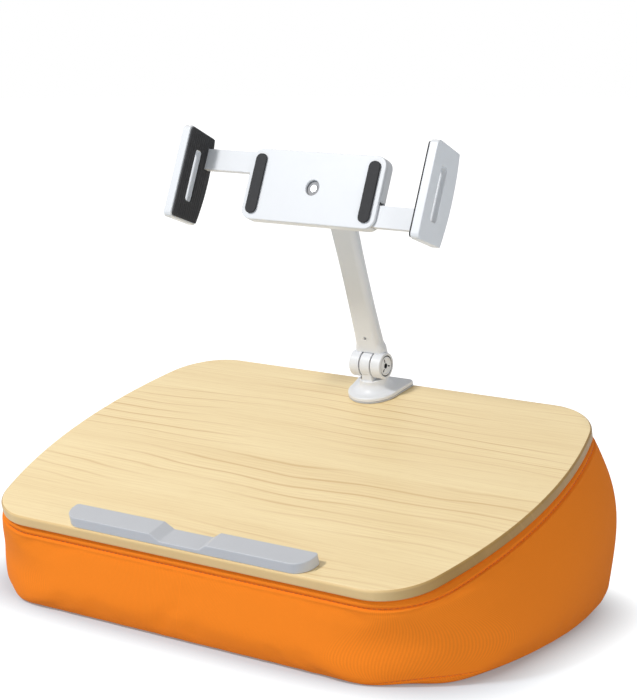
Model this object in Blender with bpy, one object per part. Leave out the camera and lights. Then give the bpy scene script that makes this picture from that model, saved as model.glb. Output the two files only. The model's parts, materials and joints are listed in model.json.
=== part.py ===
"""Lap stand: a tilted wooden board on a soft cushion, with a jointed arm that
carries a clamp for a tablet or an e-reader.

Metres, +Z up, +Y to the rear. The origin is on the table, under the centre of
the board's top face.
"""

import math

import bmesh
import bpy
from mathutils import Vector

# Shared clearances and cutting allowances
SEAT_GAP = 0.0003            # between two pieces that touch
BORE_GAP = 0.0003            # radial, between a shank and its hole
CUT_OVERRUN = 0.001          # how far a cutter runs past the face it opens

# Facet counts
CORNER_STEPS = 6
SIDE_STEPS = 6
EDGE_STEPS = 2
ROUND_STEPS = 3
LARGE_SIDES = 32
SMALL_SIDES = 12

# Lap board: a flat wooden top with straight front and rear edges and bowed sides
BOARD_WIDTH = 0.435
BOARD_DEPTH = 0.2894         # along the slope
BOARD_THICKNESS = 0.0090
BOARD_TILT = math.radians(15.1)
BOARD_CENTRE_HEIGHT = 0.1068
BOARD_SIDE_RADIUS = 0.370
BOARD_WIDEST_SETBACK = 0.0053    # the widest place lies this far behind the centre
BOARD_FRONT_CORNER = 0.0476
BOARD_REAR_CORNER = 0.0512
BOARD_EDGE_ROUND = 0.0020

# Cushion cover: three sewn panels round a soft filling
COVER_CLOTH = 0.0015
COVER_TOP_INSET = 0.0020     # the cover starts this far inside the board's edge
COVER_TOP_ROUND = 0.0035
COVER_FLOOR_ROUND = 0.0160
COVER_RIM = 0.0180           # width of the rim that touches the board
UPPER_SEAM_DROP = 0.0062     # below the top of the cover
LOWER_SEAM_ANGLE = math.radians(52.0)   # up the round at the floor
BULGE_FRONT = -0.0040        # extra reach of each wall at half height
BULGE_SIDE = 0.0105
BULGE_REAR = 0.0170
SPREAD_FRONT = 0.0095        # extra reach of each wall at the floor
SPREAD_SIDE = 0.0140
SPREAD_REAR = 0.0050
BULGE_FRONT_CORNER = 0.0180  # extra radius of the corners at half height
BULGE_REAR_CORNER = 0.0040
SPREAD_FRONT_CORNER = 0.0520     # extra radius of the corners at the floor
SPREAD_REAR_CORNER = 0.0080
WALL_LEVEL_SHARES = (0.15, 0.30, 0.45, 0.60, 0.74)

# Hook and loop strips between the board and the cushion
STRIP_WIDTH = 0.040
STRIP_END_SETBACK = 0.0447   # a strip's ends to the board's front and rear edges
STRIP_THICKNESS = 0.0012
STRIP_SPACING = 0.230        # between the middles of the two strips
STRIP_CORNER = 0.006

# Front ledge that stops a book from sliding off, with a notch for a cable
LEDGE_LENGTH = 0.222
LEDGE_DEPTH = 0.0195
LEDGE_HEIGHT = 0.0080
LEDGE_SETBACK = 0.0012       # behind the board's front edge
LEDGE_FRONT_CORNER = 0.0140
LEDGE_REAR_CORNER = 0.0030
NOTCH_TOP_LENGTH = 0.052
NOTCH_FLOOR_LENGTH = 0.036
NOTCH_FLOOR_HEIGHT = 0.0030
LEDGE_SCREW_SPACING = 0.085

# Wood screws that come up through the board
SCREW_SHANK = 0.0020         # radius
SCREW_HEAD = 0.0042          # radius
SCREW_HEAD_HEIGHT = 0.0022
SCREW_HEAD_RECESS = 0.0026   # depth of the counterbore
SCREW_HEAD_CLEARANCE = 0.0004
SCREW_TIP_GAP = 0.0005
LEDGE_SCREW_BITE = 0.0055    # how far the screw goes into the ledge
SOCKET_SHARE = 0.5           # drive recess: radius as a share of the head
SOCKET_DEPTH_SHARE = 0.5     # drive recess: depth as a share of the head

# Mount foot: a D-shaped plate with a flared post and a hinge knuckle
FOOT_FRONT_WIDTH = 0.044
FOOT_REAR_WIDTH = 0.050
FOOT_REAR_CORNER = 0.0040
POST_SETBACK = 0.0220        # post axis to the board's rear edge
FOOT_BASE_THICKNESS = 0.0012
FOOT_PLATE_THICKNESS = 0.0030
POST_RADIUS = 0.0110
POST_SHOULDER = 0.0142       # above the board
FLARE_RADIUS = 0.0075
HINGE_HEIGHT = 0.0255        # base hinge axis above the board
FOOT_SCREW_SPREAD = 0.0070   # either side of the post axis
FOOT_SCREW_BITE = 0.0110     # above the board

# Friction hinge, used at both ends of the arm
HINGE_RADIUS = 0.01075
HINGE_HALF_LENGTH = 0.0148
KNUCKLE_HALF_WIDTH = 0.0046
FRICTION_WASHER = 0.0007
CHEEK_START = KNUCKLE_HALF_WIDTH + 2 * SEAT_GAP + FRICTION_WASHER
KNUCKLE_CLEARANCE = 0.0006
BOLT_RADIUS = 0.0030
BOLT_HEAD_RADIUS = 0.0077
BOLT_HEAD_HEIGHT = 0.0024
BOLT_RECESS = 0.0028         # depth of the counterbore in the cheek
BOLT_RECESS_CLEARANCE = 0.0003
BOLT_SOCKET = 0.0022         # radius of the hexagon socket
BOLT_SOCKET_DEPTH = 0.0030
BOLT_GROOVE_WIDTH = 0.0008
BOLT_GROOVE_DEPTH = 0.0006
BOLT_GROOVE_COUNT = 3
NUT_RADIUS = 0.0055
NUT_HEIGHT = 0.0040
NUT_RECESS = 0.0045
HEXAGON = 6

# Arm: two moulded shells, split through both hinge axes
ARM_LENGTH = 0.1493
ARM_LEAN = math.radians(21.2)    # forwards from upright
ARM_FORK_WIDTH = 0.0262
ARM_NECK_START = 0.0130      # along the arm, where the shoulders begin to narrow
ARM_NECK_END = 0.0190
ARM_NECK_WIDTH = 0.0230
ARM_EDGE_ROUND = 0.0042
ARM_WAIST_WIDTH = 0.0215
ARM_NECK_DEPTH = 0.0115
ARM_WAIST_DEPTH = 0.0108
ARM_WALL = 0.0022
ARM_SOLID_END = 0.0300       # solid length at each end, from the hinge axis
ARM_SCREW_PLACE = 0.0242     # along the arm, from each hinge axis
ARM_SCREW_SHANK = 0.0010     # radius
ARM_SCREW_HEAD = 0.0017      # radius
ARM_SCREW_HEAD_HEIGHT = 0.0012
ARM_SCREW_RECESS = 0.0026    # depth of the hole that the head sits in
ARM_SCREW_BITE = 0.0036      # into the rear shell

# Holder: a flat housing whose two jaws slide out to grip a tablet
HOLDER_LEAN = math.radians(22.2)     # backwards from upright
HOLDER_WIDTH = 0.124
HOLDER_HEIGHT = 0.057
HOLDER_CORNER = 0.009
HOLDER_WALL = 0.0022
REST_PAD_THICKNESS = 0.0015
REST_PAD_WIDTH = 0.010
REST_PAD_INSET = 0.0045
FRONT_COVER_THICKNESS = 0.0020
RAIL_THICKNESS = 0.0060
RAIL_PLAY = 0.0004           # on each side of a rail
RAIL_CORNER = 0.0025         # at the outer corner of a rail's free end
HUB_RADIUS = 0.0170
HUB_HEIGHT = 0.0022
SWIVEL_WASHER = 0.0008
SWIVEL_FLANGE = 0.0040
HEAD_REACH = 0.0131          # swivel flange's rear face to the head hinge axis
SWIVEL_BOLT_HEAD = 0.0055    # radius
SWIVEL_BOLT_HEAD_HEIGHT = 0.0020
SWIVEL_BOLT_WINDOW = 0.0062  # radius of the hole in the front cover
SWIVEL_BOLT_LENGTH = 0.0222  # under its head
COVER_SCREW_SPREAD = 0.020   # the inner screws, either side of the middle
COVER_SCREW_SETBACK = 0.010  # the outer screws, from the holder's ends
COVER_SCREW_SHANK = 0.0012
COVER_SCREW_HEAD = 0.0022
COVER_SCREW_HEAD_HEIGHT = 0.0010
COVER_SCREW_RECESS = 0.0012
COVER_BOSS = 0.0032          # radius
COVER_SCREW_TIP_WALL = 0.0008

# Jaws, with their rails and racks
JAW_GRIP = 0.217             # clear width between the jaw pads
JAW_PAD_THICKNESS = 0.0015
JAW_THICKNESS = 0.0074
JAW_FRONT_REACH = 0.0225     # in front of the tablet's back
JAW_REAR_REACH = 0.0105      # behind the tablet's back, at the jaw's ends
JAW_REAR_BOW = 0.0036        # extra depth at mid height
JAW_HEIGHT = 0.075           # at the front edge
JAW_REAR_TAPER = 0.0015      # the rear edge is shorter by this at each end
JAW_CORNER = 0.0040
JAW_SLOT_LENGTH = 0.042
JAW_SLOT_WIDTH = 0.0075
JAW_SLOT_PLACE = 0.0158      # slot's middle behind the jaw's front edge
JAW_SLOT_ROUND_SHARE = 0.6   # of the slot's half width
JAW_PAD_MARGIN = 0.0012
JAW_CLOSING = 0.044          # travel inwards from the shown place
JAW_OPENING = 0.008          # travel outwards from the shown place
BOW_STEPS = 6

# Rack and pinion that keep the two jaws in step
GEAR_MODULE = 0.00125
PINION_TEETH = 12
TOOTH_BACKLASH = 0.0004
TOOTH_TIP_SHARE = 0.50       # tip width as a share of the width at the pitch line
TOOTH_ROOT_SHARE = 1.30      # root width as a share of the width at the pitch line
TOOTH_ADDENDUM_SHARE = 0.85  # of the module
TOOTH_DEDENDUM_SHARE = 1.25  # of the module
RACK_RUN_OUT = 0.006         # rack beyond what the travel needs

# Places that follow from the sizes above
STRIP_LENGTH = BOARD_DEPTH - 2 * STRIP_END_SETBACK
COVER_SINK = (3 * SEAT_GAP + 2 * STRIP_THICKNESS) / math.cos(BOARD_TILT) - SEAT_GAP
PINION_RADIUS = GEAR_MODULE * PINION_TEETH / 2
POST_PLACE = BOARD_DEPTH / 2 - POST_SETBACK
FOOT_BOTTOM = SEAT_GAP + FOOT_BASE_THICKNESS + SEAT_GAP
FOOT_TOP = FOOT_BOTTOM + FOOT_PLATE_THICKNESS
FRONT_COVER_START = REST_PAD_THICKNESS + SEAT_GAP
FRONT_COVER_END = FRONT_COVER_START + FRONT_COVER_THICKNESS
RAIL_START = FRONT_COVER_END + RAIL_PLAY
RAIL_END = RAIL_START + RAIL_THICKNESS
REAR_PLATE_START = RAIL_END + RAIL_PLAY
REAR_PLATE_END = REAR_PLATE_START + HOLDER_WALL
HUB_END = REAR_PLATE_END + HUB_HEIGHT
SWIVEL_WASHER_START = HUB_END + SEAT_GAP
FLANGE_START = SWIVEL_WASHER_START + SWIVEL_WASHER + SEAT_GAP
FLANGE_END = FLANGE_START + SWIVEL_FLANGE
HEAD_HINGE_PLACE = FLANGE_END + HEAD_REACH
ARM_SETBACK = HINGE_RADIUS - ARM_NECK_DEPTH / 2  # the bar's rear is flush with its hinges
JAW_INNER = JAW_GRIP / 2 + JAW_PAD_THICKNESS + SEAT_GAP
RAIL_OUTER_EDGE = HOLDER_HEIGHT / 2 - HOLDER_WALL - RAIL_PLAY
RAIL_INNER_EDGE = PINION_RADIUS + GEAR_MODULE * TOOTH_DEDENDUM_SHARE
RAIL_REACH = HOLDER_WIDTH / 2 - HOLDER_WALL - RAIL_PLAY - JAW_CLOSING


# Scene and materials

def clear_scene():
    for thing in list(bpy.data.objects):
        bpy.data.objects.remove(thing, do_unlink=True)


def material(name, colour, roughness, metallic=0.0):
    made = bpy.data.materials.new(name)
    made.use_nodes = True
    shader = made.node_tree.nodes["Principled BSDF"]
    shader.inputs["Base Color"].default_value = (*colour, 1.0)
    shader.inputs["Roughness"].default_value = roughness
    shader.inputs["Metallic"].default_value = metallic
    made.diffuse_color = (*colour, 1.0)
    return made


def make_materials():
    return {
        "wood": material("wood", (0.90, 0.74, 0.47), 0.50),
        "orange_cloth": material("orange_cloth", (0.80, 0.22, 0.03), 0.90),
        "filling": material("filling", (0.93, 0.92, 0.88), 0.95),
        "strip": material("strip", (0.75, 0.75, 0.75), 0.95),
        "ledge_grey": material("ledge_grey", (0.58, 0.59, 0.61), 0.45),
        "white_plastic": material("white_plastic", (0.82, 0.82, 0.83), 0.38),
        "dark_rubber": material("dark_rubber", (0.03, 0.03, 0.032), 0.75),
        "washer": material("washer", (0.35, 0.35, 0.36), 0.55),
        "steel": material("steel", (0.55, 0.55, 0.57), 0.32, 1.0),
    }


def frame(name, parent, location, lean=0.0):
    """An empty that carries pieces, turned about X."""
    made = bpy.data.objects.new(name, None)
    bpy.context.scene.collection.objects.link(made)
    made.parent = parent
    made.location = location
    made.rotation_euler = (lean, 0.0, 0.0)
    return made


def place(name, mesh_maker, parent, look, smooth_angle=None):
    """Turn a bmesh into a named object of the given material."""
    bmesh.ops.recalc_face_normals(mesh_maker, faces=mesh_maker.faces)
    mesh = bpy.data.meshes.new(name)
    mesh_maker.to_mesh(mesh)
    mesh_maker.free()
    made = bpy.data.objects.new(name, mesh)
    bpy.context.scene.collection.objects.link(made)
    made.parent = parent
    if look is not None:
        mesh.materials.append(look)
    if smooth_angle is not None:
        mesh.shade_smooth()
        mesh.set_sharp_from_angle(angle=smooth_angle)
    return made


def combine(target, operation, name, mesh_maker):
    """Add a Boolean to a piece, with its operand kept as a hidden wire guide."""
    guide = place(target.name + "_" + name, mesh_maker, target.parent, None)
    guide.hide_render = True
    guide.display_type = "WIRE"
    step = target.modifiers.new(name, "BOOLEAN")
    step.operation = operation
    step.solver = "EXACT"
    step.object = guide


def cut(target, name, mesh_maker):
    combine(target, "DIFFERENCE", name, mesh_maker)


def add(target, name, mesh_maker):
    combine(target, "UNION", name, mesh_maker)


# Shapes

SMOOTH = math.radians(35.0)


def arc(centre, radius, start, end, steps):
    """Points on an arc, without its last one."""
    points = []
    for step in range(steps):
        angle = start + (end - start) * step / steps
        points.append((centre[0] + radius * math.cos(angle), centre[1] + radius * math.sin(angle)))
    return points


def bowed_outline(half_width, front, rear, widest, side_radius, front_corner, rear_corner):
    """Straight front and rear edges, bowed sides and round corners, from above."""
    side_centre = half_width - side_radius

    def corner_centre(edge, radius, inwards):
        along = edge + inwards * radius
        reach = math.sqrt((side_radius - radius) ** 2 - (along - widest) ** 2)
        return side_centre + reach, along

    front_centre = corner_centre(front, front_corner, 1)
    rear_centre = corner_centre(rear, rear_corner, -1)
    front_turn = math.atan2(front_centre[1] - widest, front_centre[0] - side_centre)
    rear_turn = math.atan2(rear_centre[1] - widest, rear_centre[0] - side_centre)
    half = [(front_centre[0] * step / EDGE_STEPS, front) for step in range(EDGE_STEPS)]
    half += arc(front_centre, front_corner, -math.pi / 2, front_turn, CORNER_STEPS)
    half += arc((side_centre, widest), side_radius, front_turn, rear_turn, SIDE_STEPS)
    half += arc(rear_centre, rear_corner, rear_turn, math.pi / 2, CORNER_STEPS)
    half += [(rear_centre[0] * (1 - step / EDGE_STEPS), rear) for step in range(EDGE_STEPS + 1)]
    mirrored = [(-across, along) for across, along in half[-2:0:-1]]
    return half + mirrored


def rounded_rectangle(low, high, radii, steps=CORNER_STEPS):
    """Corners in the order low-low, high-low, high-high, low-high."""
    centres = (
        (low[0] + radii[0], low[1] + radii[0]),
        (high[0] - radii[1], low[1] + radii[1]),
        (high[0] - radii[2], high[1] - radii[2]),
        (low[0] + radii[3], high[1] - radii[3]),
    )
    points = []
    for corner, centre in enumerate(centres):
        start = math.pi + corner * math.pi / 2
        points += arc(centre, radii[corner], start, start + math.pi / 2, steps)
        end = start + math.pi / 2
        points.append((
            centre[0] + radii[corner] * math.cos(end),
            centre[1] + radii[corner] * math.sin(end),
        ))
    return points


def centred_rectangle(width, height, radius, steps=CORNER_STEPS):
    return rounded_rectangle((-width / 2, -height / 2), (width / 2, height / 2), (radius,) * 4, steps)


def circle(radius, sides, centre=(0.0, 0.0)):
    return arc(centre, radius, 0.0, 2 * math.pi, sides)


def turn_to(axis, first, second, along):
    """A point from its two coordinates across an axis and the one along it."""
    if axis == "X":
        return (along, first, second)
    if axis == "Y":
        return (first, along, second)
    return (first, second, along)


def loops_to_mesh(loops, closed=False, folded=False):
    """Skin equal loops of points; the ends are capped unless they meet.

    A folded skin splits each of its twisted quads from the lower loop up to the
    next point of the higher one, so that parallel skins fold along the same lines.
    """
    made = bmesh.new()
    rings = [[made.verts.new(point) for point in loop] for loop in loops]
    count = len(rings[0])
    pairs = list(zip(rings, rings[1:]))
    if closed:
        pairs.append((rings[-1], rings[0]))
    for first, second in pairs:
        rising = sum(vert.co.z for vert in second) > sum(vert.co.z for vert in first)
        for index in range(count):
            after = (index + 1) % count
            if not folded:
                made.faces.new((first[index], first[after], second[after], second[index]))
            elif rising:
                made.faces.new((first[index], first[after], second[after]))
                made.faces.new((first[index], second[after], second[index]))
            else:
                made.faces.new((first[index], first[after], second[index]))
                made.faces.new((first[after], second[after], second[index]))
    if not closed:
        made.faces.new(reversed(rings[0]))
        made.faces.new(rings[-1])
    return made


def prism(outline, start, end, axis="Z"):
    return loops_to_mesh([
        [turn_to(axis, first, second, along) for first, second in outline]
        for along in (start, end)
    ])


def turned(profile, axis, centre=(0.0, 0.0), sides=SMALL_SIDES):
    """A solid of revolution from (radius, along) pairs whose ends have a radius."""
    return loops_to_mesh([
        [turn_to(axis, first, second, along) for first, second in circle(radius, sides, centre)]
        for radius, along in profile
    ])


def merged(makers):
    """Several separate shapes in one mesh, for an operand."""
    together = bmesh.new()
    for maker in makers:
        mesh = bpy.data.meshes.new("passing")
        bmesh.ops.recalc_face_normals(maker, faces=maker.faces)
        maker.to_mesh(mesh)
        maker.free()
        together.from_mesh(mesh)
        bpy.data.meshes.remove(mesh)
    return together


def box(low, high):
    outline = [(low[0], low[1]), (high[0], low[1]), (high[0], high[1]), (low[0], high[1])]
    return prism(outline, low[2], high[2])


def headed(axis, centre, head_end, under_head, tip, head_radius, shank_radius, head_height):
    """A screw or bolt: a head with a round drive recess, and a plain shank."""
    direction = 1 if tip > head_end else -1
    socket_floor = head_end + direction * head_height * SOCKET_DEPTH_SHARE
    socket_radius = head_radius * SOCKET_SHARE
    profile = [
        (socket_radius, socket_floor),
        (socket_radius, head_end),
        (head_radius, head_end),
        (head_radius, under_head),
        (shank_radius, under_head),
        (shank_radius, tip),
    ]
    return turned(profile, axis, centre)


# Board and cushion

def board_ring(inset):
    return bowed_outline(
        BOARD_WIDTH / 2 - inset,
        -BOARD_DEPTH / 2 + inset,
        BOARD_DEPTH / 2 - inset,
        BOARD_WIDEST_SETBACK,
        BOARD_SIDE_RADIUS - inset,
        BOARD_FRONT_CORNER - inset,
        BOARD_REAR_CORNER - inset,
    )


def lap_board(parent, look):
    loops = []
    for step in range(ROUND_STEPS + 1):
        angle = math.pi / 2 * step / ROUND_STEPS
        inset = BOARD_EDGE_ROUND * (1 - math.sin(angle))
        rise = BOARD_EDGE_ROUND * (1 - math.cos(angle))
        loops.append((inset, rise - BOARD_THICKNESS))
    loops += [(inset, -BOARD_THICKNESS - height) for inset, height in reversed(loops)]
    board = place(
        "lap_board",
        loops_to_mesh([[(*point, height) for point in board_ring(inset)] for inset, height in loops]),
        parent, look, SMOOTH,
    )
    holes = []
    for across, along, bite in board_screw_places():
        holes.append(turned([
            (SCREW_HEAD + SCREW_HEAD_CLEARANCE, -BOARD_THICKNESS - CUT_OVERRUN),
            (SCREW_HEAD + SCREW_HEAD_CLEARANCE, SCREW_HEAD_RECESS - BOARD_THICKNESS),
            (SCREW_SHANK + BORE_GAP, SCREW_HEAD_RECESS - BOARD_THICKNESS),
            (SCREW_SHANK + BORE_GAP, CUT_OVERRUN),
        ], "Z", (across, along)))
    cut(board, "screw_holes", merged(holes))


def ledge_middle():
    return -BOARD_DEPTH / 2 + LEDGE_SETBACK + LEDGE_DEPTH / 2


def board_screw_places():
    """Across, along and how far each screw rises above the board."""
    places = [(LEDGE_SCREW_SPACING * side, ledge_middle(), LEDGE_SCREW_BITE) for side in (-1, 1)]
    places += [(0.0, POST_PLACE + FOOT_SCREW_SPREAD * side, FOOT_SCREW_BITE) for side in (-1, 1)]
    return places


def board_screws(parent, look):
    names = ("ledge_screw_left", "ledge_screw_right", "foot_screw_front", "foot_screw_rear")
    head_end = SCREW_HEAD_RECESS - SEAT_GAP - SCREW_HEAD_HEIGHT - BOARD_THICKNESS
    for name, (across, along, bite) in zip(names, board_screw_places()):
        screw = headed(
            "Z", (across, along), head_end, head_end + SCREW_HEAD_HEIGHT, bite,
            SCREW_HEAD, SCREW_SHANK, SCREW_HEAD_HEIGHT,
        )
        place(name, screw, parent, look, SMOOTH)


def underside_height(along):
    """Height of the board's underside above the table, at a place from above."""
    drop = BOARD_THICKNESS / math.cos(BOARD_TILT)
    return BOARD_CENTRE_HEIGHT + along * math.tan(BOARD_TILT) - drop


def cover_ring(share, inset):
    """Outline of the cover from above; share runs from 0 at the table to 1 at the board."""
    bulge = math.sin(math.pi * share)
    spread = 1 - share
    lift = BOARD_THICKNESS * math.sin(BOARD_TILT)
    reach = COVER_TOP_INSET + inset
    side = BULGE_SIDE * bulge + SPREAD_SIDE * spread - reach
    front = BULGE_FRONT * bulge + SPREAD_FRONT * spread - reach
    rear = BULGE_REAR * bulge + SPREAD_REAR * spread - reach
    front_corner = BULGE_FRONT_CORNER * bulge + SPREAD_FRONT_CORNER * spread - reach
    rear_corner = BULGE_REAR_CORNER * bulge + SPREAD_REAR_CORNER * spread - reach
    half_depth = BOARD_DEPTH / 2 * math.cos(BOARD_TILT)
    return bowed_outline(
        BOARD_WIDTH / 2 + side,
        lift - half_depth - front,
        lift + half_depth + rear,
        lift + BOARD_WIDEST_SETBACK * math.cos(BOARD_TILT),
        BOARD_SIDE_RADIUS + side,
        BOARD_FRONT_CORNER + front_corner,
        BOARD_REAR_CORNER + rear_corner,
    )


def cover_tops():
    """Height of the cover's top at each place round its edge."""
    return [underside_height(along) - SEAT_GAP for across, along in cover_ring(1.0, 0.0)]


def cover_loop(height_above, inset):
    """A loop round the cover; height_above gives a height from that of the local top."""
    loop = []
    for index, top in enumerate(cover_tops()):
        height = height_above(top)
        loop.append((*cover_ring(height / top, inset)[index], height))
    return loop


def floor_round_loop(angle, depth):
    """A loop on the round at the table; depth is how far it lies inside the cloth's face."""
    radius = COVER_FLOOR_ROUND - depth
    inset = COVER_FLOOR_ROUND - radius * math.sin(angle)
    return cover_loop(lambda top: COVER_FLOOR_ROUND - radius * math.cos(angle), inset)


def wall_loop(share, depth):
    return cover_loop(lambda top: COVER_FLOOR_ROUND + (top - COVER_FLOOR_ROUND) * share, depth)


def below_top_loop(drop, inset):
    """A loop a fixed distance under the plane of the cover's top."""
    loop = []
    for across, along, height in cover_loop(lambda top: top - drop, inset):
        loop.append((across, along, underside_height(along) - SEAT_GAP - drop))
    return loop


def top_round_loop(angle, depth):
    radius = COVER_TOP_ROUND - depth
    inset = COVER_TOP_ROUND - radius * math.cos(angle)
    return below_top_loop(COVER_TOP_ROUND - radius * math.sin(angle), inset)


def top_plane_loop(inset, sink):
    ring = cover_ring(1.0, inset)
    return [(*point, underside_height(point[1]) - SEAT_GAP - sink) for point in ring]


def sunk_middle_loops(depth):
    """The rim's inner edge and the foot of the 45 degree ramp inside it; depth is
    how far they lie under the cloth's face, measured square to each face."""
    mitre = depth * math.tan(math.pi / 8)
    return [
        top_plane_loop(COVER_RIM - mitre, depth),
        top_plane_loop(COVER_RIM + COVER_SINK - mitre, COVER_SINK + depth),
    ]


def angles(start, end, steps):
    return [start + (end - start) * step / steps for step in range(steps + 1)]


def seam_angle(side):
    """Where a panel ends at the lower seam, half a gap to one side of it."""
    return LOWER_SEAM_ANGLE + side * SEAT_GAP / 2 / COVER_FLOOR_ROUND


def cover_bottom_panel(look):
    outer = [floor_round_loop(angle, 0.0) for angle in angles(0.0, seam_angle(-1), ROUND_STEPS)]
    inner = [floor_round_loop(angle, COVER_CLOTH) for angle in angles(seam_angle(-1), 0.0, ROUND_STEPS)]
    place("cover_bottom_panel", loops_to_mesh(outer + inner, folded=True), None, look, SMOOTH)


def cover_side_panel(look):
    top = UPPER_SEAM_DROP + SEAT_GAP
    outer = [floor_round_loop(angle, 0.0) for angle in angles(seam_angle(1), math.pi / 2, 2)]
    outer += [wall_loop(share, 0.0) for share in WALL_LEVEL_SHARES]
    outer.append(below_top_loop(top, 0.0))
    inner = [below_top_loop(top, COVER_CLOTH)]
    inner += [wall_loop(share, COVER_CLOTH) for share in reversed(WALL_LEVEL_SHARES)]
    inner += [floor_round_loop(angle, COVER_CLOTH) for angle in angles(math.pi / 2, seam_angle(1), 2)]
    place("cover_side_panel", loops_to_mesh(outer + inner, True, True), None, look, SMOOTH)


def top_panel_loops(depth):
    """From the upper seam over the rim to the sunk middle."""
    loops = [below_top_loop(UPPER_SEAM_DROP, depth)]
    loops += [top_round_loop(angle, depth) for angle in angles(0.0, math.pi / 2, ROUND_STEPS)]
    return loops + sunk_middle_loops(depth)


def cover_top_panel(look):
    outer = top_panel_loops(0.0)
    inner = top_panel_loops(COVER_CLOTH)
    place("cover_top_panel", loops_to_mesh(inner[::-1] + outer, folded=True), None, look, SMOOTH)


def cushion_filling(look):
    depth = COVER_CLOTH + SEAT_GAP
    loops = [floor_round_loop(angle, depth) for angle in angles(0.0, LOWER_SEAM_ANGLE, ROUND_STEPS)]
    loops += [floor_round_loop(angle, depth) for angle in angles(LOWER_SEAM_ANGLE, math.pi / 2, 2)[1:]]
    loops += [wall_loop(share, depth) for share in WALL_LEVEL_SHARES]
    loops += top_panel_loops(depth)
    place("cushion_filling", loops_to_mesh(loops, folded=True), None, look, SMOOTH)


def hook_and_loop(parent, look):
    """Two strips under the board, each held by one on the cushion."""
    hook_top = -BOARD_THICKNESS - SEAT_GAP
    layers = (("hook_strip", hook_top), ("loop_strip", hook_top - STRIP_THICKNESS - SEAT_GAP))
    for side_name, side in (("left", -1), ("right", 1)):
        middle = side * STRIP_SPACING / 2
        outline = rounded_rectangle(
            (middle - STRIP_WIDTH / 2, -STRIP_LENGTH / 2),
            (middle + STRIP_WIDTH / 2, STRIP_LENGTH / 2),
            (STRIP_CORNER,) * 4, ROUND_STEPS,
        )
        for layer, top in layers:
            strip = prism(outline, top - STRIP_THICKNESS, top)
            place(layer + "_" + side_name, strip, parent, look)


def front_ledge(parent, look):
    front = -BOARD_DEPTH / 2 + LEDGE_SETBACK
    outline = rounded_rectangle(
        (-LEDGE_LENGTH / 2, front),
        (LEDGE_LENGTH / 2, front + LEDGE_DEPTH),
        (LEDGE_FRONT_CORNER, LEDGE_FRONT_CORNER, LEDGE_REAR_CORNER, LEDGE_REAR_CORNER),
    )
    top = SEAT_GAP + LEDGE_HEIGHT
    ledge = place("front_ledge", prism(outline, SEAT_GAP, top), parent, look, SMOOTH)
    floor = SEAT_GAP + NOTCH_FLOOR_HEIGHT
    flare = (NOTCH_TOP_LENGTH - NOTCH_FLOOR_LENGTH) / 2 * CUT_OVERRUN / (top - floor)
    notch = [
        (-NOTCH_FLOOR_LENGTH / 2, floor),
        (NOTCH_FLOOR_LENGTH / 2, floor),
        (NOTCH_TOP_LENGTH / 2 + flare, top + CUT_OVERRUN),
        (-NOTCH_TOP_LENGTH / 2 - flare, top + CUT_OVERRUN),
    ]
    cut(ledge, "notch", prism(notch, front - CUT_OVERRUN, front + LEDGE_DEPTH + CUT_OVERRUN, "Y"))
    holes = [
        turned([
            (SCREW_SHANK + BORE_GAP, SEAT_GAP - CUT_OVERRUN),
            (SCREW_SHANK + BORE_GAP, LEDGE_SCREW_BITE + SCREW_TIP_GAP),
        ], "Z", (across, along))
        for across, along, bite in board_screw_places()[:2]
    ]
    cut(ledge, "screw_holes", merged(holes))


# Mount foot and hinges

def foot_outline():
    """From above: a round front, sides that open a little, and a straight rear edge."""
    half_front = FOOT_FRONT_WIDTH / 2
    half_rear = FOOT_REAR_WIDTH / 2
    rear = BOARD_DEPTH / 2
    points = arc((0.0, POST_PLACE), half_front, math.pi, 2 * math.pi, 2 * CORNER_STEPS)
    points.append((half_front, POST_PLACE))
    for side, start in ((1, 0.0), (-1, math.pi / 2)):
        centre = (side * (half_rear - FOOT_REAR_CORNER), rear - FOOT_REAR_CORNER)
        for angle in angles(start, start + math.pi / 2, ROUND_STEPS):
            points.append((
                centre[0] + FOOT_REAR_CORNER * math.cos(angle),
                centre[1] + FOOT_REAR_CORNER * math.sin(angle),
            ))
    return points


def keyhole(centre, foot, half_web):
    """Outline of a knuckle: a round eye on a straight web that starts at foot, below it."""
    side = math.asin(half_web / HINGE_RADIUS)
    eye = angles(side - math.pi / 2, math.pi * 3 / 2 - side, LARGE_SIDES - LARGE_SIDES // 6)
    points = [(centre[0] - half_web, foot), (centre[0] + half_web, foot)]
    for turn in eye:
        points.append((
            centre[0] + HINGE_RADIUS * math.cos(turn),
            centre[1] + HINGE_RADIUS * math.sin(turn),
        ))
    return points


def screw_pilot(across, along, start, end):
    return turned([(SCREW_SHANK + BORE_GAP, start), (SCREW_SHANK + BORE_GAP, end)], "Z", (across, along))


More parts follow.
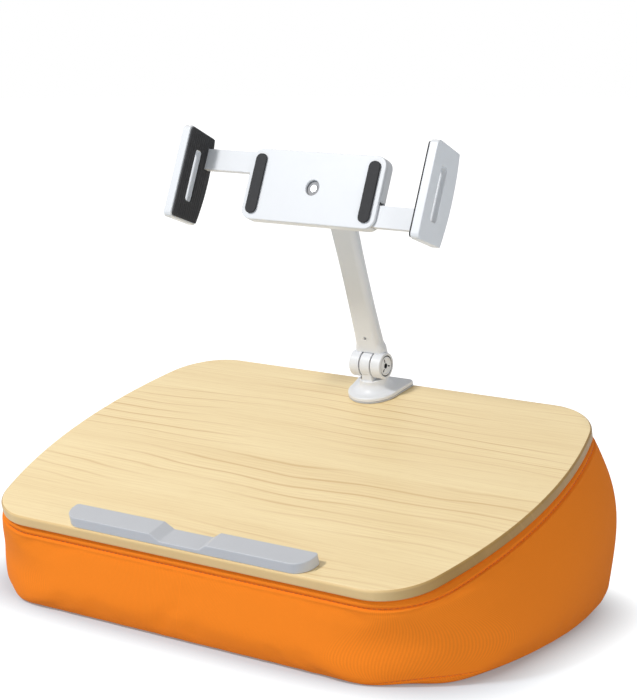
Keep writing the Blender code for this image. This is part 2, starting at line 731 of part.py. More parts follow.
def mount_foot(parent, look, base_look):
    base = place(
        "foot_base", prism(foot_outline(), SEAT_GAP, SEAT_GAP + FOOT_BASE_THICKNESS),
        parent, base_look, SMOOTH,
    )
    foot = place("mount_foot", prism(foot_outline(), FOOT_BOTTOM, FOOT_TOP), parent, look, SMOOTH)
    flare = [(POST_RADIUS + FLARE_RADIUS, FOOT_TOP - FOOT_PLATE_THICKNESS / 2)]
    for angle in angles(0.0, math.pi / 2, 2 * ROUND_STEPS):
        flare.append((
            POST_RADIUS + FLARE_RADIUS * (1 - math.sin(angle)),
            FOOT_TOP + FLARE_RADIUS * (1 - math.cos(angle)),
        ))
    flare.append((POST_RADIUS, POST_SHOULDER))
    add(foot, "post", turned(flare, "Z", (0.0, POST_PLACE), LARGE_SIDES))
    web_start = (FOOT_TOP + POST_SHOULDER) / 2
    web_half_depth = math.sqrt(POST_RADIUS ** 2 - KNUCKLE_HALF_WIDTH ** 2) - CUT_OVERRUN
    knuckle = keyhole((POST_PLACE, HINGE_HEIGHT), web_start, web_half_depth)
    add(foot, "knuckle", prism(knuckle, -KNUCKLE_HALF_WIDTH, KNUCKLE_HALF_WIDTH, "X"))
    bore = prism(
        circle(BOLT_RADIUS + BORE_GAP, LARGE_SIDES // 2, (POST_PLACE, HINGE_HEIGHT)),
        -KNUCKLE_HALF_WIDTH - CUT_OVERRUN, KNUCKLE_HALF_WIDTH + CUT_OVERRUN, "X",
    )
    cut(foot, "bolt_bore", bore)
    foot_places = board_screw_places()[2:]
    for piece, end in ((foot, FOOT_SCREW_BITE + SCREW_TIP_GAP), (base, FOOT_BOTTOM)):
        holes = [screw_pilot(across, along, -CUT_OVERRUN, end) for across, along, bite in foot_places]
        cut(piece, "screw_holes", merged(holes))


def hinge_pieces(prefix, parent, along_arm, looks):
    """Bolt, nut and two friction washers of one hinge, in the arm's frame."""
    centre = (0.0, along_arm)
    head_end = HINGE_HALF_LENGTH - BOLT_RECESS + SEAT_GAP + BOLT_HEAD_HEIGHT
    under_head = head_end - BOLT_HEAD_HEIGHT
    nut_inner = -HINGE_HALF_LENGTH + NUT_RECESS - SEAT_GAP
    nut_outer = nut_inner - NUT_HEIGHT
    bolt = place(
        prefix + "_bolt",
        turned([
            (BOLT_RADIUS, nut_outer + SEAT_GAP),
            (BOLT_RADIUS, under_head),
            (BOLT_HEAD_RADIUS, under_head),
            (BOLT_HEAD_RADIUS, head_end),
        ], "X", centre, LARGE_SIDES),
        parent, looks["white_plastic"], SMOOTH,
    )
    cut(bolt, "socket", prism(
        circle(BOLT_SOCKET, HEXAGON, centre), head_end - BOLT_SOCKET_DEPTH, head_end + CUT_OVERRUN, "X",
    ))
    grooves = []
    for number in range(BOLT_GROOVE_COUNT):
        turn = math.pi / 2 + 2 * math.pi * number / BOLT_GROOVE_COUNT
        outwards = Vector((math.cos(turn), math.sin(turn)))
        sideways = Vector((-outwards.y, outwards.x)) * BOLT_GROOVE_WIDTH / 2
        near = Vector(centre) + outwards * (BOLT_SOCKET + CUT_OVERRUN)
        far = Vector(centre) + outwards * (BOLT_HEAD_RADIUS - CUT_OVERRUN)
        outline = [tuple(near - sideways), tuple(far - sideways), tuple(far + sideways), tuple(near + sideways)]
        grooves.append(prism(outline, head_end - BOLT_GROOVE_DEPTH, head_end + CUT_OVERRUN, "X"))
    cut(bolt, "grooves", merged(grooves))
    nut = place(
        prefix + "_nut", prism(circle(NUT_RADIUS, HEXAGON, centre), nut_outer, nut_inner, "X"),
        parent, looks["steel"],
    )
    cut(nut, "thread_hole", prism(
        circle(BOLT_RADIUS + BORE_GAP, SMALL_SIDES, centre),
        nut_outer - CUT_OVERRUN, nut_inner + CUT_OVERRUN, "X",
    ))
    for side_name, side in (("left", -1), ("right", 1)):
        near = side * (KNUCKLE_HALF_WIDTH + SEAT_GAP)
        far = near + side * FRICTION_WASHER
        washer = place(
            prefix + "_washer_" + side_name,
            prism(circle(HINGE_RADIUS - CUT_OVERRUN, LARGE_SIDES, centre), min(near, far), max(near, far), "X"),
            parent, looks["washer"], SMOOTH,
        )
        cut(washer, "bolt_hole", prism(
            circle(BOLT_RADIUS + BORE_GAP, SMALL_SIDES, centre),
            min(near, far) - CUT_OVERRUN, max(near, far) + CUT_OVERRUN, "X",
        ))


# Arm

def arm_bar(start, end):
    """The arm's bar: chamfered sections, slimmer towards its middle."""
    levels = [
        (start, ARM_FORK_WIDTH, ARM_NECK_DEPTH),
        (ARM_NECK_START, ARM_FORK_WIDTH, ARM_NECK_DEPTH),
        (ARM_NECK_END, ARM_NECK_WIDTH, ARM_NECK_DEPTH),
        (ARM_LENGTH / 2, ARM_WAIST_WIDTH, ARM_WAIST_DEPTH),
        (ARM_LENGTH - ARM_NECK_END, ARM_NECK_WIDTH, ARM_NECK_DEPTH),
        (ARM_LENGTH - ARM_NECK_START, ARM_FORK_WIDTH, ARM_NECK_DEPTH),
        (end, ARM_FORK_WIDTH, ARM_NECK_DEPTH),
    ]
    return loops_to_mesh([
        [
            (across, deep + ARM_SETBACK, along)
            for across, deep in centred_rectangle(width, depth, ARM_EDGE_ROUND, ROUND_STEPS)
        ]
        for along, width, depth in levels
    ])


def hinge_barrel(along_arm, radius, low, high):
    return prism(circle(radius, LARGE_SIDES, (0.0, along_arm)), low, high, "X")


def arm_shell(name, side, parent, look):
    """One moulded half of the arm; side is -1 for the front half and 1 for the rear one."""
    reach = HINGE_RADIUS + CUT_OVERRUN
    shell = place(name, arm_bar(0.0, ARM_LENGTH), parent, look, SMOOTH)
    for end_name, end in (("lower", 0.0), ("upper", ARM_LENGTH)):
        add(shell, end_name + "_barrel", hinge_barrel(end, HINGE_RADIUS, -HINGE_HALF_LENGTH, HINGE_HALF_LENGTH))
    far = HINGE_HALF_LENGTH + CUT_OVERRUN
    low, high = sorted((ARM_SETBACK + side * SEAT_GAP / 2, -side * (reach + CUT_OVERRUN)))
    cut(shell, "other_half", box((-far, low, -reach), (far, high, ARM_LENGTH + reach)))
    opening = [
        (NUT_RADIUS + BOLT_RECESS_CLEARANCE, -far),
        (NUT_RADIUS + BOLT_RECESS_CLEARANCE, NUT_RECESS - HINGE_HALF_LENGTH),
        (BOLT_RADIUS + BORE_GAP, NUT_RECESS - HINGE_HALF_LENGTH),
        (BOLT_RADIUS + BORE_GAP, -CHEEK_START),
        (HINGE_RADIUS + KNUCKLE_CLEARANCE, -CHEEK_START),
        (HINGE_RADIUS + KNUCKLE_CLEARANCE, CHEEK_START),
        (BOLT_RADIUS + BORE_GAP, CHEEK_START),
        (BOLT_RADIUS + BORE_GAP, HINGE_HALF_LENGTH - BOLT_RECESS),
        (BOLT_HEAD_RADIUS + BOLT_RECESS_CLEARANCE, HINGE_HALF_LENGTH - BOLT_RECESS),
        (BOLT_HEAD_RADIUS + BOLT_RECESS_CLEARANCE, far),
    ]
    openings = [turned(opening, "X", (0.0, end), LARGE_SIDES) for end in (0.0, ARM_LENGTH)]
    hollow_half_width = ARM_WAIST_WIDTH / 2 - ARM_WALL
    hollow_half_depth = ARM_WAIST_DEPTH / 2 - ARM_WALL
    openings.append(box(
        (-hollow_half_width, ARM_SETBACK - hollow_half_depth, ARM_SOLID_END),
        (hollow_half_width, ARM_SETBACK + hollow_half_depth, ARM_LENGTH - ARM_SOLID_END),
    ))
    for along in arm_screw_places():
        openings.append(turned([
            (ARM_SCREW_HEAD + BORE_GAP, -reach),
            (ARM_SCREW_HEAD + BORE_GAP, arm_screw_seat()),
            (ARM_SCREW_SHANK + BORE_GAP, arm_screw_seat()),
            (ARM_SCREW_SHANK + BORE_GAP, ARM_SETBACK + ARM_SCREW_BITE + SCREW_TIP_GAP),
        ], "Y", (0.0, along)))
    cut(shell, "openings", merged(openings))


def arm_screw_places():
    return (ARM_SCREW_PLACE, ARM_LENGTH - ARM_SCREW_PLACE)


def arm_screw_seat():
    return ARM_SETBACK - ARM_NECK_DEPTH / 2 + ARM_SCREW_RECESS


def arm(parent, looks):
    arm_shell("arm_front_shell", -1, parent, looks["white_plastic"])
    arm_shell("arm_rear_shell", 1, parent, looks["white_plastic"])
    under_head = arm_screw_seat() - SEAT_GAP
    for name, along in zip(("arm_screw_lower", "arm_screw_upper"), arm_screw_places()):
        screw = headed(
            "Y", (0.0, along), under_head - ARM_SCREW_HEAD_HEIGHT, under_head,
            ARM_SETBACK + ARM_SCREW_BITE,
            ARM_SCREW_HEAD, ARM_SCREW_SHANK, ARM_SCREW_HEAD_HEIGHT,
        )
        place(name, screw, parent, looks["steel"], SMOOTH)
    hinge_pieces("base_hinge", parent, 0.0, looks)
    hinge_pieces("head_hinge", parent, ARM_LENGTH, looks)


# Head

def swivel_head(parent, look):
    """Flange that the holder turns on, and the knuckle of the head hinge."""
    flange_low = -HEAD_REACH - SWIVEL_FLANGE
    head = place(
        "swivel_head",
        turned([(HUB_RADIUS, flange_low), (HUB_RADIUS, -HEAD_REACH)], "Y", (0.0, 0.0), LARGE_SIDES),
        parent, look, SMOOTH,
    )
    upright = keyhole((0.0, 0.0), -HEAD_REACH - SWIVEL_FLANGE / 2, HINGE_RADIUS - CUT_OVERRUN)
    lying = [(along, -across) for across, along in upright]
    add(head, "knuckle", prism(lying, -KNUCKLE_HALF_WIDTH, KNUCKLE_HALF_WIDTH, "X"))
    cut(head, "hinge_bore", hinge_barrel(
        0.0, BOLT_RADIUS + BORE_GAP, -KNUCKLE_HALF_WIDTH - CUT_OVERRUN, KNUCKLE_HALF_WIDTH + CUT_OVERRUN))
    tip = swivel_bolt_span()[1] - HEAD_HINGE_PLACE + SCREW_TIP_GAP
    cut(head, "swivel_bore", turned([
        (BOLT_RADIUS + BORE_GAP, flange_low - CUT_OVERRUN),
        (BOLT_RADIUS + BORE_GAP, tip),
    ], "Y"))


def swivel_bolt_span():
    """From under the head to the tip, in the holder's frame."""
    under_head = RAIL_START - SEAT_GAP
    return under_head, under_head + SWIVEL_BOLT_LENGTH


def swivel_pieces(parent, looks):
    under_head, tip = swivel_bolt_span()
    bolt = headed(
        "Y", (0.0, 0.0), under_head - SWIVEL_BOLT_HEAD_HEIGHT, under_head, tip,
        SWIVEL_BOLT_HEAD, BOLT_RADIUS, SWIVEL_BOLT_HEAD_HEIGHT,
    )
    place("swivel_bolt", bolt, parent, looks["steel"], SMOOTH)
    washer = place(
        "swivel_washer",
        turned([
            (HUB_RADIUS - CUT_OVERRUN, SWIVEL_WASHER_START),
            (HUB_RADIUS - CUT_OVERRUN, SWIVEL_WASHER_START + SWIVEL_WASHER),
        ], "Y", (0.0, 0.0), LARGE_SIDES),
        parent, looks["washer"], SMOOTH,
    )
    cut(washer, "bolt_hole", turned([
        (BOLT_RADIUS + BORE_GAP, SWIVEL_WASHER_START - CUT_OVERRUN),
        (BOLT_RADIUS + BORE_GAP, SWIVEL_WASHER_START + SWIVEL_WASHER + CUT_OVERRUN),
    ], "Y"))


# Holder housing

def cover_screw_centres():
    places = (COVER_SCREW_SPREAD, HOLDER_WIDTH / 2 - COVER_SCREW_SETBACK)
    return [(side * across, 0.0) for across in places for side in (-1, 1)]


def holder_front_cover(parent, look):
    outline = centred_rectangle(HOLDER_WIDTH, HOLDER_HEIGHT, HOLDER_CORNER)
    cover = place(
        "holder_front_cover", prism(outline, FRONT_COVER_START, FRONT_COVER_END, "Y"),
        parent, look, SMOOTH,
    )
    boss_start = FRONT_COVER_END - FRONT_COVER_THICKNESS / 2
    boss_end = (RAIL_START + RAIL_END) / 2 - SEAT_GAP
    add(cover, "bosses", merged([
        turned([(COVER_BOSS, boss_start), (COVER_BOSS, boss_end)], "Y", centre)
        for centre in cover_screw_centres()
    ]))
    holes = [
        turned([
            (COVER_SCREW_SHANK + BORE_GAP, FRONT_COVER_START + COVER_SCREW_TIP_WALL),
            (COVER_SCREW_SHANK + BORE_GAP, boss_end + CUT_OVERRUN),
        ], "Y", centre)
        for centre in cover_screw_centres()
    ]
    holes.append(turned([
        (SWIVEL_BOLT_WINDOW, FRONT_COVER_START - CUT_OVERRUN),
        (SWIVEL_BOLT_WINDOW, FRONT_COVER_END + CUT_OVERRUN),
    ], "Y", (0.0, 0.0), LARGE_SIDES))
    cut(cover, "holes", merged(holes))


def holder_rear_cover(parent, look):
    wall_start = FRONT_COVER_END + SEAT_GAP
    outline = centred_rectangle(HOLDER_WIDTH, HOLDER_HEIGHT, HOLDER_CORNER)
    cover = place(
        "holder_rear_cover", prism(outline, wall_start, REAR_PLATE_END, "Y"), parent, look, SMOOTH,
    )
    inside = centred_rectangle(
        HOLDER_WIDTH - 2 * HOLDER_WALL, HOLDER_HEIGHT - 2 * HOLDER_WALL, HOLDER_WALL,
    )
    cut(cover, "inside", prism(inside, wall_start - CUT_OVERRUN, REAR_PLATE_START, "Y"))
    window_outer = RAIL_OUTER_EDGE + RAIL_PLAY
    window_inner = PINION_RADIUS - GEAR_MODULE
    half = HOLDER_WIDTH / 2
    windows = []
    for side in (-1, 1):
        low, high = sorted((-side * window_inner, -side * window_outer))
        windows.append(box(
            (min(side * half, side * (half - 2 * HOLDER_WALL)) - CUT_OVERRUN, wall_start - CUT_OVERRUN, low),
            (max(side * half, side * (half - 2 * HOLDER_WALL)) + CUT_OVERRUN, REAR_PLATE_START, high),
        ))
    cut(cover, "rail_windows", merged(windows))
    boss_start = (RAIL_START + RAIL_END) / 2
    add(cover, "bosses", merged([
        turned([(COVER_BOSS, boss_start), (COVER_BOSS, REAR_PLATE_START + HOLDER_WALL / 2)], "Y", centre)
        for centre in cover_screw_centres()
    ]))
    add(cover, "hub", turned([
        (HUB_RADIUS, REAR_PLATE_END - HOLDER_WALL / 2), (HUB_RADIUS, HUB_END),
    ], "Y", (0.0, 0.0), LARGE_SIDES))
    holes = [
        turned([
            (COVER_SCREW_SHANK + BORE_GAP, boss_start - CUT_OVERRUN),
            (COVER_SCREW_SHANK + BORE_GAP, REAR_PLATE_END - COVER_SCREW_RECESS),
            (COVER_SCREW_HEAD + BORE_GAP, REAR_PLATE_END - COVER_SCREW_RECESS),
            (COVER_SCREW_HEAD + BORE_GAP, REAR_PLATE_END + CUT_OVERRUN),
        ], "Y", centre)
        for centre in cover_screw_centres()[2:]
    ]
    holes += [
        turned([
            (COVER_SCREW_SHANK + BORE_GAP, boss_start - CUT_OVERRUN),
            (COVER_SCREW_SHANK + BORE_GAP, REAR_PLATE_END - COVER_SCREW_RECESS),
            (COVER_SCREW_HEAD + BORE_GAP, REAR_PLATE_END - COVER_SCREW_RECESS),
            (COVER_SCREW_HEAD + BORE_GAP, HUB_END + CUT_OVERRUN),
        ], "Y", centre)
        for centre in cover_screw_centres()[:2]
    ]
    holes.append(turned([
        (BOLT_RADIUS + BORE_GAP, REAR_PLATE_START - CUT_OVERRUN),
        (BOLT_RADIUS + BORE_GAP, HUB_END + CUT_OVERRUN),
    ], "Y"))
    cut(cover, "holes", merged(holes))


def holder_pieces(parent, looks):
    holder_front_cover(parent, looks["white_plastic"])
    holder_rear_cover(parent, looks["white_plastic"])
    names = ("inner_left", "inner_right", "outer_left", "outer_right")
    under_head = REAR_PLATE_END - COVER_SCREW_RECESS + SEAT_GAP
    tip = FRONT_COVER_START + COVER_SCREW_TIP_WALL + SEAT_GAP
    for name, centre in zip(names, cover_screw_centres()):
        screw = headed(
            "Y", centre, under_head + COVER_SCREW_HEAD_HEIGHT, under_head, tip,
            COVER_SCREW_HEAD, COVER_SCREW_SHANK, COVER_SCREW_HEAD_HEIGHT,
        )
        place("cover_screw_" + name, screw, parent, looks["steel"], SMOOTH)
    pad_middle = HOLDER_WIDTH / 2 - REST_PAD_INSET - REST_PAD_WIDTH / 2
    pad_half_height = HOLDER_HEIGHT / 2 - REST_PAD_INSET
    for name, side in (("rest_pad_left", -1), ("rest_pad_right", 1)):
        outline = rounded_rectangle(
            (side * pad_middle - REST_PAD_WIDTH / 2, -pad_half_height),
            (side * pad_middle + REST_PAD_WIDTH / 2, pad_half_height),
            (REST_PAD_INSET,) * 4, ROUND_STEPS,
        )
        place(name, prism(outline, 0.0, REST_PAD_THICKNESS, "Y"), parent, looks["dark_rubber"])


# Jaws and gear

def tooth_half_width():
    return (math.pi * GEAR_MODULE / 2 - TOOTH_BACKLASH) / 2


def rack_edge(first, last):
    """Points along a rack's toothed edge at the side of the pinion, from first to last.

    A gap between two teeth lies at zero, where the pinion holds a tooth.
    """
    pitch = math.pi * GEAR_MODULE
    tip = PINION_RADIUS - GEAR_MODULE * TOOTH_ADDENDUM_SHARE
    half_root = tooth_half_width() * TOOTH_ROOT_SHARE
    half_tip = tooth_half_width() * TOOTH_TIP_SHARE
    points = []
    number = math.ceil((first + half_root) / pitch - 1 / 2)
    while (number + 1 / 2) * pitch + half_root < last:
        middle = (number + 1 / 2) * pitch
        points += [
            (middle - half_root, RAIL_INNER_EDGE),
            (middle - half_tip, tip),
            (middle + half_tip, tip),
            (middle + half_root, RAIL_INNER_EDGE),
        ]
        number += 1
    return points


def rail_outline():
    """The right jaw's rail, seen from the front, above the pinion.

    It runs from inside the jaw, past the pinion, to its free end.
    """
    outer_end = JAW_INNER + JAW_THICKNESS / 2
    rack_start = max(-RAIL_REACH, -JAW_OPENING - RACK_RUN_OUT)
    rack_end = JAW_CLOSING + RACK_RUN_OUT
    points = [(-RAIL_REACH, RAIL_INNER_EDGE)]
    points += rack_edge(rack_start, rack_end)
    points += [(outer_end, RAIL_INNER_EDGE), (outer_end, RAIL_OUTER_EDGE)]
    free_corner = (RAIL_CORNER - RAIL_REACH, RAIL_OUTER_EDGE - RAIL_CORNER)
    points += arc(free_corner, RAIL_CORNER, math.pi / 2, math.pi, ROUND_STEPS)
    points.append((-RAIL_REACH, RAIL_OUTER_EDGE - RAIL_CORNER))
    return points


def jaw_side_outline(margin=0.0):
    """A jaw seen from the side: straight front edge, bowed rear edge."""
    front = -JAW_FRONT_REACH + margin
    rear = JAW_REAR_REACH - margin
    half_front = JAW_HEIGHT / 2 - margin
    half_rear = half_front - JAW_REAR_TAPER
    corner = JAW_CORNER - margin
    points = arc((front + corner, corner - half_front), corner, math.pi, math.pi * 3 / 2, ROUND_STEPS)
    points.append((front + corner, -half_front))
    for step in range(BOW_STEPS + 1):
        height = half_rear * (2 * step / BOW_STEPS - 1)
        bow = JAW_REAR_BOW * (1 - (height / half_rear) ** 2)
        points.append((rear + bow, height))
    points.append((front + corner, half_front))
    points += arc((front + corner, half_front - corner), corner, math.pi / 2, math.pi, ROUND_STEPS)[1:]
    points.append((front, half_front - corner))
    return points


def slot_outline(margin=0.0):
    middle = -JAW_FRONT_REACH + JAW_SLOT_PLACE
    half_width = JAW_SLOT_WIDTH / 2 + margin
    half_length = JAW_SLOT_LENGTH / 2 + margin
    return rounded_rectangle(
        (middle - half_width, -half_length), (middle + half_width, half_length),
        (half_width * JAW_SLOT_ROUND_SHARE,) * 4, ROUND_STEPS,
    )


def jaw(name, side, parent, looks):
    """Side is -1 for the left jaw, whose rail runs above the pinion, and 1 for the right one."""
    inner = side * JAW_INNER
    outer = side * (JAW_INNER + JAW_THICKNESS)
    low, high = sorted((inner, outer))
    body = place(name, prism(jaw_side_outline(), low, high, "X"), parent, looks["white_plastic"], SMOOTH)
    rail = [(side * across, -side * up) for across, up in rail_outline()]
    add(body, "rail", prism(rail, RAIL_START, RAIL_END, "Y"))
    cut(body, "slot", prism(slot_outline(), low - CUT_OVERRUN, high + CUT_OVERRUN, "X"))
    low, high = sorted((side * JAW_GRIP / 2, side * (JAW_GRIP / 2 + JAW_PAD_THICKNESS)))
    pad = place(
        name + "_pad", prism(jaw_side_outline(JAW_PAD_MARGIN), low, high, "X"),
        parent, looks["dark_rubber"], SMOOTH,
    )
    cut(pad, "slot", prism(slot_outline(), low - CUT_OVERRUN, high + CUT_OVERRUN, "X"))
    window_low, window_high = sorted((
        -side * (RAIL_INNER_EDGE - SEAT_GAP), -side * (RAIL_OUTER_EDGE + SEAT_GAP),
    ))
    cut(pad, "rail_window", box(
        (low - CUT_OVERRUN, RAIL_START - SEAT_GAP, window_low),
        (high + CUT_OVERRUN, RAIL_END + SEAT_GAP, window_high),
    ))


def pinion(parent, look):
    tip = PINION_RADIUS + GEAR_MODULE * TOOTH_ADDENDUM_SHARE
    root = PINION_RADIUS - GEAR_MODULE * TOOTH_DEDENDUM_SHARE
    half_root = math.asin(tooth_half_width() * TOOTH_ROOT_SHARE / root)
    half_tip = math.asin(tooth_half_width() * TOOTH_TIP_SHARE / tip)
    points = []
    for tooth in range(PINION_TEETH):
        middle = math.pi / 2 + 2 * math.pi * tooth / PINION_TEETH
        for radius, turn in ((root, -half_root), (tip, -half_tip), (tip, half_tip), (root, half_root)):
            points.append((radius * math.cos(middle + turn), radius * math.sin(middle + turn)))
    gear = place("pinion", prism(points, RAIL_START, RAIL_END, "Y"), parent, look)
    cut(gear, "bore", turned([
        (BOLT_RADIUS + BORE_GAP, RAIL_START - CUT_OVERRUN),
        (BOLT_RADIUS + BORE_GAP, RAIL_END + CUT_OVERRUN),
    ], "Y"))


def build():
    clear_scene()
    looks = make_materials()
    board_frame = frame("board_frame", None, (0.0, 0.0, BOARD_CENTRE_HEIGHT), BOARD_TILT)
    arm_frame = frame("arm_frame", board_frame, (0.0, POST_PLACE, HINGE_HEIGHT), ARM_LEAN - BOARD_TILT)
    head_frame = frame("head_frame", arm_frame, (0.0, 0.0, ARM_LENGTH), -HOLDER_LEAN - ARM_LEAN)
    holder_frame = frame("holder_frame", head_frame, (0.0, -HEAD_HINGE_PLACE, 0.0))

    lap_board(board_frame, looks["wood"])
    front_ledge(board_frame, looks["ledge_grey"])
    board_screws(board_frame, looks["steel"])
    hook_and_loop(board_frame, looks["strip"])
    cover_bottom_panel(looks["orange_cloth"])
    cover_side_panel(looks["orange_cloth"])
    cover_top_panel(looks["orange_cloth"])
    cushion_filling(looks["filling"])

    mount_foot(board_frame, looks["white_plastic"], looks["ledge_grey"])
    arm(arm_frame, looks)
    swivel_head(head_frame, looks["white_plastic"])
    swivel_pieces(holder_frame, looks)
    holder_pieces(holder_frame, looks)
    pinion(holder_frame, looks["washer"])
    jaw("jaw_left", -1, holder_frame, looks)
    jaw("jaw_right", 1, holder_frame, looks)
    bpy.context.view_layer.update()


build()
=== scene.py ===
"""Finished surfaces of a lap stand: a wooden board on a soft cushion, with a jointed
arm that carries a tablet holder.

Metres, +Z up, +Y to the rear, with the origin on the table. Every piece takes its
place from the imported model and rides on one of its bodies.
"""

import json
import math

import bmesh
import bpy
from mathutils import Matrix, Vector, noise

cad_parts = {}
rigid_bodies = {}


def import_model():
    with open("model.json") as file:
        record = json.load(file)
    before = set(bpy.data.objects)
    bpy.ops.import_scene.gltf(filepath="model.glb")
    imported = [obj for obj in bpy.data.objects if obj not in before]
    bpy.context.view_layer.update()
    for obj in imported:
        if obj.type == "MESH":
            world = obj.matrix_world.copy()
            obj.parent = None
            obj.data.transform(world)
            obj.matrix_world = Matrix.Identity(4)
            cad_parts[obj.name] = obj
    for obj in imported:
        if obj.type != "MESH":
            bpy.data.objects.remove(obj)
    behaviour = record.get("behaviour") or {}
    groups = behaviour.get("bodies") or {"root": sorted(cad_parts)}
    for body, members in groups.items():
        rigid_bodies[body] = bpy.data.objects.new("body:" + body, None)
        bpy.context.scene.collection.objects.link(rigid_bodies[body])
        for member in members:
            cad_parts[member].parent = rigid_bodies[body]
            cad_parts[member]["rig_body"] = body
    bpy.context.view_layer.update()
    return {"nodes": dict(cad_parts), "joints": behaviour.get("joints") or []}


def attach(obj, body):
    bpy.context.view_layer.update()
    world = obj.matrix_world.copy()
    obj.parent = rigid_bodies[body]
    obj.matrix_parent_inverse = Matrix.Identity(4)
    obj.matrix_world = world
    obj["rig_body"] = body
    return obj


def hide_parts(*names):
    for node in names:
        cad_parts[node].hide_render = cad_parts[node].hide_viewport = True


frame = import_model()

bl_info = {
    "name": "Tablet Cushion Stand",
    "version": (1, 0, 0),
    "blender": (4, 5, 0),
    "location": "3D View > Sidebar > Cushion Stand",
    "description": "Dresses the packed model of a cushioned lap stand with a tablet holder",
    "category": "Object",
}

# Gaps and overruns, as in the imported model
SEAT_GAP = 0.0003
BORE_GAP = 0.0003
CUT_OVERRUN = 0.001

# Fineness of the surfaces
BOARD_STEPS = {"front": 34, "front_corner": 18, "side": 38, "rear_corner": 18, "rear": 32}
CUSHION_STEPS = {"front": 17, "front_corner": 12, "side": 20, "rear_corner": 10, "rear": 15}
ROUND_SIDES = 96
BORE_SIDES = 48
SCREW_HOLE_SIDES = 32
COVER_HOLE_SIDES = 40
CORNER_STEPS = 12
EDGE_STEPS = 4
SHARP_ANGLE = math.radians(32.0)

SIDES = (("left", -1), ("right", 1))

# Lap board
BOARD_WIDTH = 0.435
BOARD_DEPTH = 0.2894
BOARD_THICKNESS = 0.0090
BOARD_TILT = math.radians(15.1)
BOARD_CENTRE = Vector((0.0, 0.0, 0.1068))
BOARD_SIDE_RADIUS = 0.370
BOARD_WIDEST_SETBACK = 0.0053
BOARD_FRONT_CORNER = 0.0476
BOARD_REAR_CORNER = 0.0512

# Wood. Each pattern has its scale along, across and through the board, per metre.
# The end colour that this fades in is end grain and painted shade on the board's left and right edges.
END_GRAIN_AND_SHADE_FADE = (0.165, 0.200)      # from the middle, where the edge turns across the grain
FACE_LEAN = math.radians(20.0)       # surfaces flatter than this have the faces' finish
GRAIN_DRIFT = (2.6, 6.0, 6.0)
GRAIN_RIPPLE = (9.0, 45.0, 45.0)
GRAIN_FADE = (4.0, 16.0, 16.0)
WOOD_FIBRES = (9.0, 640.0, 640.0)
WOOD_PORES = (60.0, 1500.0, 1500.0)
WOOD_BANDS = (1.6, 34.0, 34.0)
LINES_PER_METRE = 82.0
LINES_PER_DEPTH = 30.0
THIN_LINES_PER_METRE = 330.0

# Cushion cover
COVER_TOP_INSET = 0.0020
COVER_TOP_ROUND = 0.0028
COVER_RIM = 0.0180
COVER_SINK = 0.0031
# Each pair is a size along the front, and the same size at the sides and the rear.
# The round at the table is larger by its swell in the middle of the front corners.
FLOOR_ROUND = (0.0170, 0.0180)
FLOOR_ROUND_SWELL = 0.0090
UPPER_SEAM_DROP = (0.0064, 0.0046)
LOWER_SEAM_ANGLE = (math.radians(16.0), math.radians(52.0))
# For each part of the outline, how far it bulges and how far it spreads at the table
COVER_MOVES = {
    "front": (-0.0040, 0.0130),
    "side": (0.0120, 0.0175),
    "rear": (0.0170, 0.0050),
    "front_corner": (0.0470, 0.0220),
    "rear_corner": (-0.0040, 0.0180),
}
BULGE_LIFT = 1.25                     # over 1 lifts the widest place of the sides
FRONT_CORNER_LIFT = 0.72              # the same for the front corners, where it is low
FLOOR_ROUND_SHARES = (0.18, 0.36, 0.54, 0.70, 0.84, 0.93, 1.0)      # up to the lower seam
WALL_START_SHARES = (0.06, 0.16, 0.34, 0.60, 0.84)                  # from the seam to the wall
WALL_SHARES = (0.07, 0.15, 0.23, 0.31, 0.39, 0.47, 0.55, 0.63, 0.71, 0.78, 0.84)
BELOW_SEAM = (0.0052, 0.0036, 0.0024, 0.0015, 0.0008)               # distances under the upper seam
ABOVE_SEAM = (-0.0007, -0.0014)
CAP_SHARES = (0.93, 0.78, 0.55, 0.30, 0.12)                         # rings that close a flat end
SEAM_EPSILON = 0.00002
CLOTH_MAP = "cloth"

# Filling, seams and stitches of the cushion
CLOTH_FRAMES = 20
SLACK_SHARE = 0.30           # how much of the swell the cover is made smaller first
HOLD_FADE = 3.0
SWELL_FADE = 0.7
SEAM_GROOVE = 0.0010
SEAM_ROLL = 0.0024
SEAM_ROLL_SHARE = 0.30
LOWER_SEAM_SHARE = 0.75
PUCKER_REACH = 0.0065
PUCKER_DEPTH = 0.00035
PUCKERS_PER_METRE = 120.0
STITCH_LIFT = 0.0001
STITCH_SHARE = 0.80          # of the pitch
THREAD_THICKNESS = 0.0007

# Hook and loop tapes
TAPE_WIDTH = 0.040
TAPE_LENGTH = 0.200
TAPE_THICKNESS = 0.0012
TAPE_SPACING = 0.230
TAPE_CORNER = 0.006
TAPE_EDGE = 0.0002

# Front ledge
LEDGE_LENGTH = 0.222
LEDGE_DEPTH = 0.0195
LEDGE_HEIGHT = 0.0080
LEDGE_SETBACK = 0.0012
LEDGE_FRONT_CORNER = 0.0140
LEDGE_REAR_CORNER = 0.0030
NOTCH_TOP_LENGTH = 0.052
NOTCH_FLOOR_LENGTH = 0.036
NOTCH_FLOOR_HEIGHT = 0.0030
LEDGE_SCREW_SPACING = 0.085

# Wood screws under the board
SCREW_SHANK = 0.0020
SCREW_HEAD = 0.0042
SCREW_HEAD_HEIGHT = 0.0022
SCREW_HEAD_RECESS = 0.0026
SCREW_HEAD_CLEARANCE = 0.0004
LEDGE_SCREW_BITE = 0.0055
FOOT_SCREW_SPREAD = 0.0070
FOOT_SCREW_BITE = 0.0110

# Cross recess of a screw, as shares of its head's radius and height
CROSS_LENGTH_SHARE = 1.15
CROSS_WIDTH_SHARE = 0.24
CROSS_DEPTH_SHARE = 1.1
HEAD_SIDES = 40
SHANK_SIDES = 24

